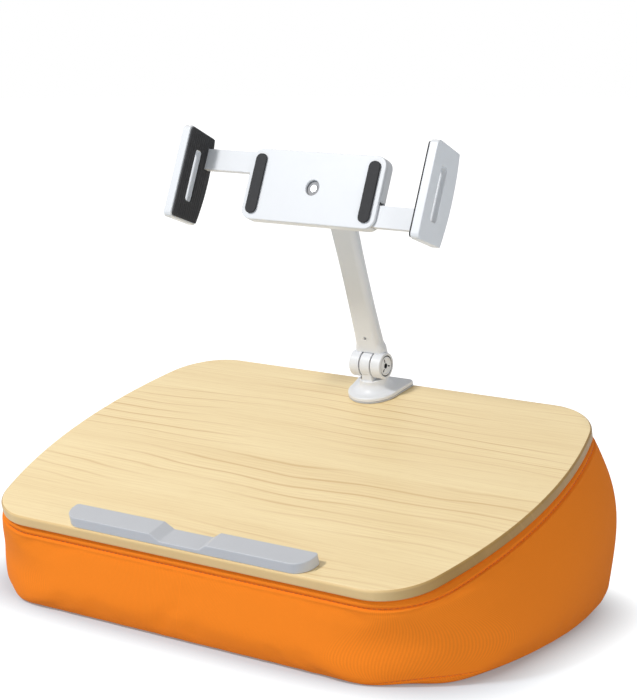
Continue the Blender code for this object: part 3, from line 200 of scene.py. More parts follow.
# Mount foot
FOOT_FRONT_WIDTH = 0.044
FOOT_REAR_WIDTH = 0.050
FOOT_REAR_CORNER = 0.0040
POST_PLACE = BOARD_DEPTH / 2 - 0.0220
FOOT_BASE_THICKNESS = 0.0012
FOOT_PLATE_THICKNESS = 0.0030
POST_RADIUS = 0.0110
POST_SHOULDER = 0.0142
FLARE_RADIUS = 0.0075
HINGE_HEIGHT = 0.0255
FOOT_EDGE_SHARE = 1.6        # the plate's upper edge is rounder than the other edges

# Friction hinges
HINGE_RADIUS = 0.01075
HINGE_HALF_LENGTH = 0.0148
KNUCKLE_HALF_WIDTH = 0.0046
FRICTION_WASHER = 0.0007
CHEEK_START = KNUCKLE_HALF_WIDTH + 2 * SEAT_GAP + FRICTION_WASHER
KNUCKLE_CLEARANCE = 0.0006
BOLT_RADIUS = 0.0030
BOLT_HEAD_RADIUS = 0.0076
BOLT_HEAD_HEIGHT = 0.0024
BOLT_RECESS = 0.0028
BOLT_RECESS_CLEARANCE = 0.0011
BOLT_SOCKET = 0.0024
BOLT_SOCKET_DEPTH = 0.0030
BOLT_DISH_DEPTH = 0.0006
BOLT_GROOVE_WIDTH = 0.0011
BOLT_GROOVE_DEPTH = 0.0010
BOLT_RING_DEPTH = 0.0007
BOLT_RING_PLAY = 0.0001
BOLT_GROOVE_COUNT = 3
BOLT_LIP_SHARE = 0.86        # of the head's radius, where its dished face starts
BOLT_HUB_SHARE = 1.2         # of the socket, where the grooves start
NUT_RADIUS = 0.0055
NUT_RECESS = 0.0045
HEXAGON = 6

# Arm
ARM_FORK_WIDTH = 0.0262
ARM_NECK_START = 0.0130
ARM_NECK_END = 0.0190
ARM_NECK_WIDTH = 0.0230
ARM_EDGE_ROUND = 0.0042
ARM_WAIST_WIDTH = 0.0215
ARM_NECK_DEPTH = 0.0115
ARM_WAIST_DEPTH = 0.0108
ARM_SETBACK = HINGE_RADIUS - ARM_NECK_DEPTH / 2
ARM_SCREW_PLACE = 0.0242
ARM_SCREW_HEAD = 0.0012
ARM_SCREW_SHANK = 0.0008
ARM_SCREW_HEAD_HEIGHT = 0.0012
ARM_SCREW_RECESS = 0.0026
ARM_SCREW_BITE = 0.0036
ARM_NECK_LEVELS = 8
ARM_MIDDLE_LEVELS = 12

# Holder
HOLDER_WIDTH = 0.124
HOLDER_HEIGHT = 0.057
HOLDER_CORNER = 0.009
HOLDER_WALL = 0.0022
REST_PAD_THICKNESS = 0.0015
REST_PAD_WIDTH = 0.010
REST_PAD_INSET = 0.0045
FRONT_COVER_THICKNESS = 0.0020
RAIL_THICKNESS = 0.0060
RAIL_PLAY = 0.0004
RAIL_CORNER = 0.0025
HUB_RADIUS = 0.0170
HUB_HEIGHT = 0.0022
SWIVEL_WASHER = 0.0008
SWIVEL_FLANGE = 0.0040
HEAD_REACH = 0.0131
SWIVEL_BOLT_HEAD = 0.0055
SWIVEL_BOLT_HEAD_HEIGHT = 0.0020
SWIVEL_BOLT_WINDOW = 0.0062
SWIVEL_BOLT_LENGTH = 0.0222
COVER_SCREW_SPREAD = 0.020
COVER_SCREW_SETBACK = 0.010
COVER_SCREW_SHANK = 0.0012
COVER_SCREW_HEAD = 0.0022
COVER_SCREW_HEAD_HEIGHT = 0.0010
COVER_SCREW_RECESS = 0.0012
COVER_BOSS = 0.0032

# Jaws and gear
JAW_GRIP = 0.217
JAW_PAD_THICKNESS = 0.0015
JAW_THICKNESS = 0.0074
JAW_FRONT_REACH = 0.0225
JAW_REAR_REACH = 0.0105
JAW_REAR_BOW = 0.0036
JAW_HEIGHT = 0.075
JAW_REAR_TAPER = 0.0015
JAW_CORNER = 0.0040
JAW_SLOT_LENGTH = 0.042
JAW_SLOT_WIDTH = 0.0088
JAW_SLOT_PLACE = 0.0158
JAW_SLOT_ROUND_SHARE = 0.6
SLOT_EDGE_SHARE = 0.4
JAW_PAD_MARGIN = 0.0012
PAD_RIB_HEIGHT = 0.0003
PAD_RIB_MARGIN = 0.0022
JAW_CLOSING = 0.044
JAW_OPENING = 0.008
BOW_STEPS = 24
GEAR_MODULE = 0.00125
PINION_RADIUS = 0.0075
TOOTH_BACKLASH = 0.0004
TOOTH_TIP_SHARE = 0.50
TOOTH_ROOT_SHARE = 1.30
TOOTH_ADDENDUM_SHARE = 0.85
TOOTH_DEDENDUM_SHARE = 1.25
RACK_RUN_OUT = 0.006
RIB_WIDTH_SHARE = 0.55
RIB_SIDES = 12

# Floor, surround and lamps
FLOOR_RADIUS = 6.0
FLOOR_SIDES = 96
FOOTPRINT = (0.222, 0.143)           # half the width and depth of the cushion at the table
FOOTPRINT_POWER = 4.0                # 2 gives an ellipse, and more a squarer shape
FLOOR_FADE = (1.0, 1.24)             # as shares of the footprint, where the shadow fades out
FLOOR_GLOW = 1.22
FLOOR_GLOW_SHARE = 0.16
FLOOR_COLOUR = (0.60, 0.70, 0.79, 1.0)
ROOM_COLOUR = (0.98, 0.99, 1.0, 1.0)
WHITE = (1.0, 1.0, 1.0, 1.0)
# Each lamp has a share of the key light's power, its width and its place.
LAMPS = (
    ("key", 1.0, 0.38, (-0.85, -1.35, 1.80)),
    ("front", 0.03, 0.80, (-0.35, -1.90, 0.30)),
    ("right", 0.11, 0.60, (1.15, -0.60, 0.22)),
)
LIGHT_AIM = (0.0, 0.0, 0.12)
SENSOR_WIDTH = 36.0

# Places that follow from the sizes above, and the frames of the moving pieces
FOOT_BOTTOM = 2 * SEAT_GAP + FOOT_BASE_THICKNESS
FOOT_TOP = FOOT_BOTTOM + FOOT_PLATE_THICKNESS
FRONT_COVER_START = REST_PAD_THICKNESS + SEAT_GAP
FRONT_COVER_END = FRONT_COVER_START + FRONT_COVER_THICKNESS
RAIL_START = FRONT_COVER_END + RAIL_PLAY
RAIL_END = RAIL_START + RAIL_THICKNESS
RAIL_MIDDLE = (RAIL_START + RAIL_END) / 2
REAR_PLATE_START = RAIL_END + RAIL_PLAY
REAR_PLATE_END = REAR_PLATE_START + HOLDER_WALL
HUB_END = REAR_PLATE_END + HUB_HEIGHT
SWIVEL_WASHER_START = HUB_END + SEAT_GAP
JAW_INNER = JAW_GRIP / 2 + JAW_PAD_THICKNESS + SEAT_GAP
RAIL_OUTER_EDGE = HOLDER_HEIGHT / 2 - HOLDER_WALL - RAIL_PLAY
RAIL_INNER_EDGE = PINION_RADIUS + GEAR_MODULE * TOOTH_DEDENDUM_SHARE
RAIL_REACH = HOLDER_WIDTH / 2 - HOLDER_WALL - RAIL_PLAY - JAW_CLOSING


def joint_row(name):
    return next(row for row in frame["joints"] if row["name"] == name)


def frame_at(origin, lean):
    """A frame turned about X, like the hinges' own."""
    return Matrix.Translation(origin) @ Matrix.Rotation(lean, 4, "X")


base_hinge = Vector(joint_row("arm_tilt")["pos_m"])
head_hinge = Vector(joint_row("head_tilt")["pos_m"])
spin_centre = Vector(joint_row("holder_spin")["pos_m"])
spin_axis = Vector(joint_row("holder_spin")["axis"])
arm_run = head_hinge - base_hinge
ARM_LENGTH = arm_run.length
ARM_LEAN = math.atan2(-arm_run.y, arm_run.z)
HOLDER_LEAN = math.atan2(spin_axis.z, -spin_axis.y)
HEAD_HINGE_PLACE = (head_hinge - spin_centre).length
BOARD_FRAME = frame_at(BOARD_CENTRE, BOARD_TILT)
ARM_FRAME = frame_at(base_hinge, ARM_LEAN)
HEAD_FRAME = frame_at(head_hinge, -HOLDER_LEAN)
HOLDER_FRAME = frame_at(spin_centre, -HOLDER_LEAN)
# Turns for screws made along Z, so that their heads face the front or the rear
HEADS_FORWARD = Matrix.Rotation(math.radians(-90.0), 4, "X")
HEADS_BACK = Matrix.Rotation(math.radians(90.0), 4, "X")


# Settings

def colour_setting(name, description, default):
    return bpy.props.FloatVectorProperty(
        name=name, description=description,
        subtype="COLOR", size=3, min=0.0, max=1.0, default=default,
    )


def length_setting(name, description, default, low, high):
    return bpy.props.FloatProperty(
        name=name, description=description,
        subtype="DISTANCE", unit="LENGTH", min=low, max=high, default=default,
    )


def angle_setting(name, description, degrees):
    return bpy.props.FloatProperty(
        name=name, description=description,
        subtype="ANGLE", unit="ROTATION", default=math.radians(degrees),
    )


class BoardSettings(bpy.types.PropertyGroup):
    """Sizes and colours of the wooden board and the ledge on it."""

    face_colour: colour_setting(
        "Face colour", "Pale wood between the grain lines of the board's faces", (0.96, 0.775, 0.44),
    )
    grain_colour: colour_setting("Grain colour", "Darkest growth lines of the wood", (0.63, 0.37, 0.12))
    edge_colour: colour_setting(
        "Edge colour", "Wood on the board's front and rear edges", (0.80, 0.58, 0.29),
    )
    # End colour: end grain, and painted shade that darkens the board's left and right edges.
    end_grain_and_shade_colour: colour_setting(
        "End colour", "Darker end grain on the board's left and right edges", (0.36, 0.21, 0.065),
    )
    edge_round: length_setting("Edge round", "Radius of the board's rounded edges", 0.0020, 0.0005, 0.004)
    ledge_colour: colour_setting(
        "Ledge colour", "Grey plastic of the front ledge and the foot's gasket", (0.53, 0.54, 0.565),
    )
    ledge_edge: length_setting("Ledge edge", "Radius of the ledge's rounded edges", 0.0009, 0.0001, 0.002)


class CushionSettings(bpy.types.PropertyGroup):
    """Cloth, seams and filling of the cushion."""

    cloth_colour: colour_setting(
        "Cloth colour", "Colour of the cushion's ribbed cloth", (0.97, 0.245, 0.015),
    )
    thread_colour: colour_setting(
        "Thread colour", "Colour of the stitches along the seams", (0.66, 0.145, 0.009),
    )
    rib_pitch: length_setting("Rib pitch", "Distance between two ribs of the cloth", 0.0013, 0.0005, 0.005)
    seam_depth: length_setting(
        "Seam depth", "How far the cloth is drawn in at a seam", 0.0013, 0.0, 0.003,
    )
    stitch_pitch: length_setting(
        "Stitch pitch", "Distance from one stitch to the next", 0.0040, 0.001, 0.01,
    )
    pressure: bpy.props.FloatProperty(
        name="Filling pressure", description="Pressure of the filling while the cover is blown up",
        min=0.0, max=20.0, default=8.0,
    )
    swell: length_setting(
        "Swell", "Furthest that a point of the cover may move as it swells", 0.0050, 0.0, 0.02,
    )


class HardwareSettings(bpy.types.PropertyGroup):
    """Colours and edges of the moulded and metal pieces."""

    plastic_colour: colour_setting(
        "Plastic colour", "White plastic of the foot, arm and holder", (0.77, 0.78, 0.80),
    )
    rubber_colour: colour_setting(
        "Rubber colour", "Dark pads of the jaws and the holder", (0.028, 0.028, 0.030),
    )
    washer_colour: colour_setting(
        "Washer colour", "Nylon of the washers and the pinion", (0.30, 0.30, 0.31),
    )
    steel_colour: colour_setting("Steel colour", "Screws, nuts and the swivel bolt", (0.55, 0.55, 0.57))
    # This dark colour also paints shade into the hinge caps: their sockets, grooves and the ring in the gap
    # round them. The arm's screws take it too.
    dark_steel_and_shade_colour: colour_setting(
        "Dark steel colour", "Blackened sockets of the hinges and the arm's screws",
        (0.015, 0.015, 0.017),
    )
    edge_round: length_setting("Edge round", "Radius of the moulded pieces' edges", 0.0008, 0.0001, 0.002)
    rib_pitch: length_setting(
        "Pad rib pitch", "Distance between the ribs of the jaws' pads", 0.0024, 0.001, 0.01,
    )


class StageSettings(bpy.types.PropertyGroup):
    """Floor, light and camera."""

    camera_azimuth: angle_setting("Camera azimuth", "Camera's turn to the right of the front", 34.79)
    camera_elevation: angle_setting("Camera elevation", "How far the camera looks down", 11.145)
    camera_place: bpy.props.FloatVectorProperty(
        name="Camera place", description="Where the camera stands",
        subtype="TRANSLATION", unit="LENGTH", size=3, default=(0.8392, -1.1710, 0.4768),
    )
    lens: bpy.props.FloatProperty(
        name="Lens", description="Focal length in millimetres on a 36 mm sensor",
        min=20.0, max=300.0, default=99.0,
    )
    key_power: bpy.props.FloatProperty(
        name="Key light", description="Power of the large light at the front left, in watts",
        min=0.0, default=33.0,
    )
    world_strength: bpy.props.FloatProperty(
        name="Room light", description="Strength of the even light from all round",
        min=0.0, default=0.38,
    )


# Materials

class Value:
    """A number that a material works out at each point; sums on it add Math nodes."""

    def __init__(self, tree, socket):
        self.tree = tree
        self.socket = socket

    def math(self, operation, *others, **settings):
        numbers = dict(enumerate((self, *others)))
        return self.tree.node("ShaderNodeMath", {"operation": operation, **settings}, numbers)

    def __add__(self, other):
        return self.math("ADD", other)

    def __mul__(self, other):
        return self.math("MULTIPLY", other)

    def __sub__(self, other):
        return self.math("SUBTRACT", other)

    def __rsub__(self, other):
        return self.tree.node("ShaderNodeMath", {"operation": "SUBTRACT"}, {0: other, 1: self})

    def __pow__(self, other):
        return self.math("POWER", other)

    __radd__ = __add__
    __rmul__ = __mul__

    def wave(self):
        """From 0 to 1 and back, once for each whole number."""
        return (self * (2 * math.pi)).math("SINE") * 0.5 + 0.5

    def clipped(self, low, high):
        """0 below low, 1 above high, and a straight rise between them."""
        return self.tree.node(
            "ShaderNodeMapRange", {"clamp": True}, {"Value": self, "From Min": low, "From Max": high},
        )


class Graph:
    """A tree of nodes. All of them come from the method node."""

    def __init__(self, tree):
        self.nodes = tree.nodes
        self.links = tree.links

    def feed(self, node, inputs):
        for key, value in inputs.items():
            if isinstance(value, Value):
                self.links.new(value.socket, node.inputs[key])
            else:
                node.inputs[key].default_value = value

    def node(self, kind, settings=None, inputs=None, output=0):
        made = self.nodes.new(kind)
        for key, value in (settings or {}).items():
            setattr(made, key, value)
        self.feed(made, inputs or {})
        return Value(self, made.outputs[output]) if made.outputs else None

    def split(self, point):
        first = self.node("ShaderNodeSeparateXYZ", None, {0: point})
        return [Value(self, socket) for socket in first.socket.node.outputs]

    def seen_directly(self):
        """1 on rays that reach the camera straight or by a mirror or glass, else 0."""
        total = self.node("ShaderNodeLightPath", output="Is Camera Ray")
        rays = total.socket.node
        for name in ("Is Glossy Ray", "Is Transmission Ray"):
            total = total.math("MAXIMUM", Value(self, rays.outputs[name]))
        return total


class Finish(Graph):
    """A material for the pieces, with the record's slot that it belongs to."""

    def __init__(self, name, slot, **constants):
        self.slot = slot
        self.material = bpy.data.materials.new(name)
        self.material.use_nodes = True
        super().__init__(self.material.node_tree)
        self.shader = self.nodes["Principled BSDF"]
        self.shade(**constants)

    def shade(self, **inputs):
        """Sets or links the shader's sockets, whose names have _ for a space."""
        self.feed(self.shader, {key.replace("_", " "): value for key, value in inputs.items()})

    def at(self, matrix=None):
        """A point of the surface, in the frame that a piece is made in."""
        point = self.node("ShaderNodeTexCoord", output="Object")
        if matrix is None:
            return point
        return self.node("ShaderNodeMapping", {"vector_type": "TEXTURE"}, {
            "Vector": point,
            "Location": matrix.translation,
            "Rotation": matrix.to_euler(),
        })

    def noise(self, point, scale, detail=2.0, rough=0.5):
        """A number about 0.5 that wanders over the surface. scale is one number, or three
        that also stretch it."""
        if isinstance(scale, tuple):
            point = self.node("ShaderNodeVectorMath", {"operation": "MULTIPLY"}, {0: point, 1: scale})
            scale = 1.0
        return self.node("ShaderNodeTexNoise", {"noise_dimensions": "3D"}, {
            "Vector": point, "Scale": scale, "Detail": detail, "Roughness": rough,
        })

    def mixed(self, share, first, second):
        """A colour between two."""
        settings = {"data_type": "RGBA", "clamp_factor": True}
        return self.node("ShaderNodeMix", settings, {0: share, 6: first, 7: second}, 2)

    def bumped(self, height, strength, distance):
        return self.node("ShaderNodeBump", None, {
            "Height": height, "Strength": strength, "Distance": distance,
        })


def opaque(colour):
    return (*colour, 1.0)


def shaded(colour, share):
    """A colour made darker, or paler where share is over 1."""
    return tuple(min(part * share, 1.0) for part in colour) + (1.0,)


def wood_finish(name, settings, base_colour, end_grain_and_shade_colour, gloss):
    """Lacquered pale wood, its grain along X. Where the edge turns across the grain it has the end colour:
    end grain, made darker still as painted shade on the board's left and right edges. gloss is 1 on the
    polished faces and less on a sawn edge, where the grain shows less too."""
    finish = Finish(
        name, "wood", Coat_Weight=0.12 * gloss, Coat_Roughness=0.25, Specular_IOR_Level=0.5 * gloss,
    )
    point = finish.at(BOARD_FRAME)
    along, across, deep = finish.split(point)
    grain = opaque(settings.grain_colour)
    # Painted shade with the end grain: the left and right edges turn to the darker end colour.
    end = along.math("ABSOLUTE").clipped(*END_GRAIN_AND_SHADE_FADE)
    drift = finish.noise(point, GRAIN_DRIFT)
    ripple = finish.noise(point, GRAIN_RIPPLE)
    phase = across * LINES_PER_METRE + deep * LINES_PER_DEPTH + drift * 4.5 + ripple * 0.6
    lines = phase.wave() ** 20.0
    fade = finish.noise(point, GRAIN_FADE, 1.0).clipped(0.40, 0.60)
    thin = (across * THIN_LINES_PER_METRE + drift * 18.0 + ripple * 2.4).wave() ** 4.0
    fibres = finish.noise(point, WOOD_FIBRES, 3.0, 0.65)
    pores = finish.noise(point, WOOD_PORES, 1.0).clipped(0.60, 0.78)
    bands = finish.noise(point, WOOD_BANDS).clipped(0.38, 0.66)
    layers = (
        bands * 0.16,
        fibres.clipped(0.40, 0.78) * (0.26 * gloss),
        thin * fade * (0.14 * gloss),
        lines * fade * (0.62 * gloss),
        pores * (0.22 * gloss),
    )
    face = finish.mixed(end, opaque(base_colour), opaque(end_grain_and_shade_colour))
    for share in layers:
        face = finish.mixed(share, face, grain)
    finish.shade(
        Base_Color=face,
        Roughness=fibres * 0.16 + 0.34,
        Normal=finish.bumped(fibres - pores * 0.6 - lines * 0.25, 0.12, 0.0002),
    )
    return finish


def cloth_finish(settings):
    """Ribbed upholstery cloth; its map holds metres round the cushion and up its side."""
    finish = Finish(
        "ribbed_cloth", "orange_cloth",
        Roughness=0.86, Sheen_Weight=0.03, Sheen_Roughness=0.45, Specular_IOR_Level=0.15,
    )
    finish.shader.inputs["Sheen Tint"].default_value = (1.0, 0.72, 0.45, 1.0)
    chart = finish.node("ShaderNodeUVMap", {"uv_map": CLOTH_MAP})
    across, up, unused = finish.split(chart)
    sway = (finish.noise(chart, (60.0, 60.0, 60.0)) - 0.5) * 0.5
    ribs_per_metre = 1 / settings.rib_pitch
    rib = (across * ribs_per_metre + sway).wave()
    yarn = (up * (1.6 * ribs_per_metre) + across * (0.5 * ribs_per_metre)).wave()
    slub = finish.noise(chart, (1400.0, 240.0, 1.0))
    cloud = finish.noise(finish.at(), 16.0, 3.0)
    colour = settings.cloth_colour
    # Painted shade and light: the cloth is darker in the valleys between its ribs and a little paler on
    # their crests.
    base = finish.mixed(rib, shaded(colour, 0.89), shaded(colour, 1.04))
    for share, tone in (
        (yarn * 0.25, 0.90),
        (slub.clipped(0.35, 0.75) * 0.30, 0.88),
        (cloud.clipped(0.30, 0.70) * 0.12, 1.12),
    ):
        base = finish.mixed(share, base, shaded(colour, tone))
    finish.shade(
        Base_Color=base,
        Roughness=rib * 0.08 + 0.82,
        Normal=finish.bumped(rib * 0.7 + yarn * 0.3 + slub * 0.25, 0.35, 0.00025),
    )
    return finish


def thread_finish(settings):
    """Twisted polyester thread."""
    finish = Finish("stitch_thread", "orange_cloth", Roughness=0.60, Sheen_Weight=0.10)
    point = finish.at()
    along, across, up = finish.split(point)
    ply = ((along + across + up) * 1600.0).wave()
    colour = settings.thread_colour
    finish.shade(
        Base_Color=finish.mixed(ply, shaded(colour, 0.75), shaded(colour, 1.15)),
        Normal=finish.bumped(ply, 0.3, 0.0001),
    )
    return finish


def tape_finish():
    """Napped grey hook and loop tape."""
    finish = Finish("napped_tape", "strip", Roughness=0.95, Sheen_Weight=0.20)
    fuzz = finish.noise(finish.at(), 1900.0, 2.0)
    finish.shade(
        Base_Color=finish.mixed(fuzz, (0.48, 0.48, 0.49, 1.0), (0.72, 0.72, 0.72, 1.0)),
        Normal=finish.bumped(fuzz, 0.6, 0.0004),
    )
    return finish


def moulded_finish(name, slot, colour, rough, grain):
    """Injection-moulded plastic with a fine spark-eroded grain and faint handling marks."""
    finish = Finish(name, slot, Roughness=rough, IOR=1.47)
    point = finish.at()
    spark = finish.noise(point, 2600.0, 2.0, 0.6)
    marks = finish.noise(point, 55.0, 3.0, 0.6)
    finish.shade(
        Base_Color=finish.mixed(
            marks.clipped(0.35, 0.75) * 0.5, shaded(colour, 1.015), shaded(colour, 0.975),
        ),
        Roughness=marks * 0.12 + spark * 0.05 + (rough - 0.08),
        Normal=finish.bumped(spark, grain, 0.0001),
    )
    return finish


def rubber_finish(colour):
    """Matt moulded rubber, a little dusty."""
    finish = Finish("dark_pad_rubber", "dark_rubber", Roughness=0.78, Specular_IOR_Level=0.35)
    point = finish.at()
    dust = finish.noise(point, 260.0, 4.0, 0.65)
    pitting = finish.noise(point, 3200.0, 2.0)
    finish.shade(
        Base_Color=finish.mixed(dust.clipped(0.45, 0.85) * 0.6, opaque(colour), shaded(colour, 2.2)),
        Roughness=dust * 0.25 + 0.62,
        Normal=finish.bumped(pitting, 0.25, 0.0001),
    )
    return finish


def steel_finish(name, colour, metal):
    """Steel with turning marks, plated where metal is 1 or black where it is 0. The black one also stands
    for painted shade in the hinge caps' sockets, grooves and gaps.
    """
    finish = Finish(name, "steel", Metallic=metal, Roughness=0.32)
    point = finish.at()
    turning = finish.noise(point, 1800.0, 2.0, 0.7)
    bloom = finish.noise(point, 120.0, 3.0)
    finish.shade(
        Base_Color=finish.mixed(bloom, shaded(colour, 0.88), shaded(colour, 1.10)),
        Roughness=bloom * 0.20 + turning * 0.10 + 0.18,
        Normal=finish.bumped(turning, 0.15, 0.00005),
    )
    return finish


finishes = {}


def make_finishes(scene):
    """All the finishes that the pieces take, from the settings."""
    board = scene.stand_board
    hardware = scene.stand_hardware
    finishes.update({
        "wood_face": wood_finish("wood_face", board, board.face_colour, board.face_colour, 1.0),
        "wood_edge": wood_finish("wood_edge", board, board.edge_colour, board.end_grain_and_shade_colour, 0.4),
        "cloth": cloth_finish(scene.stand_cushion),
        "thread": thread_finish(scene.stand_cushion),
        "tape": tape_finish(),
        "ledge": moulded_finish("grey_plastic", "ledge_grey", board.ledge_colour, 0.42, 0.10),
        "plastic": moulded_finish("white_plastic", "white_plastic", hardware.plastic_colour, 0.36, 0.08),
        "nylon": moulded_finish("grey_nylon", "washer", hardware.washer_colour, 0.50, 0.05),
        "rubber": rubber_finish(hardware.rubber_colour),
        "steel": steel_finish("plated_steel", hardware.steel_colour, 1.0),
        # The black steel also serves as painted shade in the hinge caps.
        "blackened_and_shade": steel_finish("blackened_steel_and_painted_shade", hardware.dark_steel_and_shade_colour, 0.0),
    })


# Outlines

def turns(start, end, steps):
    return [start + (end - start) * step / steps for step in range(steps + 1)]


def arc(centre, radius, start, end, steps):
    """Points on an arc, both ends included."""
    return [
        (centre[0] + radius * math.cos(turn), centre[1] + radius * math.sin(turn))
        for turn in turns(start, end, steps)
    ]


def circle(radius, sides=ROUND_SIDES, centre=(0.0, 0.0)):
    return arc(centre, radius, 0.0, 2 * math.pi, sides)[:-1]


def rounded_rectangle(low, high, radii):
    """Corners in the order low-low, high-low, high-high, low-high."""
    centres = (
        (low[0] + radii[0], low[1] + radii[0]),
        (high[0] - radii[1], low[1] + radii[1]),
        (high[0] - radii[2], high[1] - radii[2]),
        (low[0] + radii[3], high[1] - radii[3]),
    )
    points = []
    for corner, centre in enumerate(centres):
        start = math.pi + corner * math.pi / 2
        points += arc(centre, radii[corner], start, start + math.pi / 2, CORNER_STEPS)
    return points


def centred_rectangle(width, height, radius):
    return rounded_rectangle((-width / 2, -height / 2), (width / 2, height / 2), (radius,) * 4)


def smooth(share):
    """A share that rises slowly at both its ends."""
    return share * share * (3 - 2 * share)


class Bow:
    """Outline from above: straight front and rear edges, bowed sides, round corners."""

    def __init__(self, half_width, front, rear, widest, side_radius, front_corner, rear_corner):
        self.front = front
        self.rear = rear
        self.side_radius = side_radius
        self.side_centre = (half_width - side_radius, widest)
        self.front_radius = front_corner
        self.rear_radius = rear_corner
        self.front_centre, self.front_turn = self.corner(front + front_corner, front_corner)
        self.rear_centre, self.rear_turn = self.corner(rear - rear_corner, rear_corner)

    def corner(self, along, radius):
        offset = along - self.side_centre[1]
        reach = math.sqrt((self.side_radius - radius) ** 2 - offset ** 2)
        return (self.side_centre[0] + reach, along), math.atan2(offset, reach)

    def point(self, part, share):
        """A point of the right half; share runs along one part of it."""
        if part == "front":
            return self.front_centre[0] * share, self.front
        if part == "rear":
            return self.rear_centre[0] * (1 - share), self.rear
        centre, radius, start, end = {
            "front_corner": (self.front_centre, self.front_radius, -math.pi / 2, self.front_turn),
            "side": (self.side_centre, self.side_radius, self.front_turn, self.rear_turn),
            "rear_corner": (self.rear_centre, self.rear_radius, self.rear_turn, math.pi / 2),
        }[part]
        turn = start + (end - start) * share
        return centre[0] + radius * math.cos(turn), centre[1] + radius * math.sin(turn)


def bow_stations(steps_of_part):
    """Side, part and share of each point round a bowed outline, from the front's middle."""
    half = [(part, step / steps) for part, steps in steps_of_part.items() for step in range(steps)]
    right = [(1, part, share) for part, share in half + [("rear", 1.0)]]
    left = [(-1, part, share) for part, share in half[:0:-1]]
    return right + left


BOARD_STATIONS = bow_stations(BOARD_STEPS)
STATIONS = bow_stations(CUSHION_STEPS)


def on_bow(bow, station):
    side, part, share = station
    across, along = bow.point(part, share)
    return side * across, along


# Meshes

def turn_to(axis, first, second, along):
    """A point from its two coordinates across an axis and the one along it."""
    if axis == "X":
        return along, first, second
    if axis == "Y":
        return first, along, second
    return first, second, along


def skin(loops, closed=False):
    """Faces between equal loops of points; the ends are capped unless they meet."""
    made = bmesh.new()
    rings = [[made.verts.new(point) for point in loop] for loop in loops]
    count = len(rings[0])
    pairs = list(zip(rings, rings[1:]))
    if closed:
        pairs.append((rings[-1], rings[0]))
    for first, second in pairs:
        for index in range(count):
            after = (index + 1) % count
            made.faces.new((first[index], first[after], second[after], second[index]))
    if not closed:
        made.faces.new(reversed(rings[0]))
        made.faces.new(rings[-1])
    tidy(made)
    return made


def tidy(maker):
    """Merge doubled points and turn the faces outwards."""
    bmesh.ops.remove_doubles(maker, verts=maker.verts, dist=1e-6)
    bmesh.ops.recalc_face_normals(maker, faces=maker.faces)


def prism(outline, start, end, axis="Z"):
    return skin([
        [turn_to(axis, first, second, along) for first, second in outline] for along in (start, end)
    ])


def turned(profile, axis, centre=(0.0, 0.0), sides=ROUND_SIDES, closed=False):
    """A solid of revolution from (radius, along) pairs whose ends have a radius."""
    return skin([
        [turn_to(axis, first, second, along) for first, second in circle(radius, sides, centre)]
        for radius, along in profile
    ], closed)


def rod(radius, low, high, axis, centre=(0.0, 0.0), sides=BORE_SIDES):
    return turned([(radius, low), (radius, high)], axis, centre, sides)


def stepped_rod(radii, places, axis, centre, sides):
    """A rod of two radii, whose places are its start, its step and its end."""
    profile = [
        (radii[0], places[0]), (radii[0], places[1]), (radii[1], places[1]), (radii[1], places[2]),
    ]
    return turned(profile, axis, centre, sides)


def box(low, high):
    outline = [(low[0], low[1]), (high[0], low[1]), (high[0], high[1]), (low[0], high[1])]
    return prism(outline, low[2], high[2])


def rounded_rim(radius, face, inwards, edge):
    """Profile of a disc's rim: from the flat face round to the side. inwards is the
    sign from the face into the disc."""
    return [
        (radius - edge * (1 - math.sin(turn)), face + inwards * edge * (1 - math.cos(turn)))
        for turn in turns(0.0, math.pi / 2, EDGE_STEPS)
    ]


def disc(radius, low, high, axis, edge, centre=(0.0, 0.0)):
    """A round plate with rounded rims."""
    profile = rounded_rim(radius, low, 1, edge) + rounded_rim(radius, high, -1, edge)[::-1]
    return turned(profile, axis, centre)


def soften(maker, radius, chosen=None):
    """Round a shape's sharp edges, or those whose middle is chosen."""
    edges = [
        edge for edge in maker.edges
        if edge.is_manifold and edge.calc_face_angle(0.0) > SHARP_ANGLE
        and (chosen is None or chosen((edge.verts[0].co + edge.verts[1].co) / 2))
    ]
    bmesh.ops.bevel(
        maker, geom=edges, offset=radius, offset_type="OFFSET", segments=EDGE_STEPS,
        profile=0.5, affect="EDGES", clamp_overlap=True,
    )
    return maker


def merged(makers):
    """Several shapes in one mesh."""
    together = bmesh.new()
    for maker in makers:
        mesh = bpy.data.meshes.new("passing")
        maker.to_mesh(mesh)
        maker.free()
        together.from_mesh(mesh)
        bpy.data.meshes.remove(mesh)
    return together


def placed_object(name, mesh):
    made = bpy.data.objects.new(name, mesh)
    bpy.context.scene.collection.objects.link(made)
    return made


def loose_object(name, maker):
    mesh = bpy.data.meshes.new(name)
    maker.to_mesh(mesh)
    maker.free()
    return placed_object(name, mesh)


def settle(piece):
    """Turn an object's modifiers into a plain mesh."""
    graph = bpy.context.evaluated_depsgraph_get()
    mesh = bpy.data.meshes.new_from_object(piece.evaluated_get(graph), depsgraph=graph)
    piece.modifiers.clear()
    piece.data = mesh
    return piece


def combined(first, operation, second):
    """The shape left by cutting second from first, or by joining the two."""
    target = loose_object("passing", first)
    tool = loose_object("passing_tool", second)
    step = target.modifiers.new("step", "BOOLEAN")
    step.operation = operation
    step.solver = "EXACT"
    step.object = tool
    settle(target)
    made = bmesh.new()
    made.from_mesh(target.data)
    for thing in (target, tool):
        bpy.data.objects.remove(thing)
    tidy(made)
    return made


def cut(first, *tools):
    return combined(first, "DIFFERENCE", merged(tools))


def joined(first, *others):
    for other in others:
        first = combined(first, "UNION", other)
    return first


def crease(piece):
    """Shade a piece smoothly, apart from its sharp edges."""
    piece.data.shade_smooth()
    piece.data.set_sharp_from_angle(angle=SHARP_ANGLE)


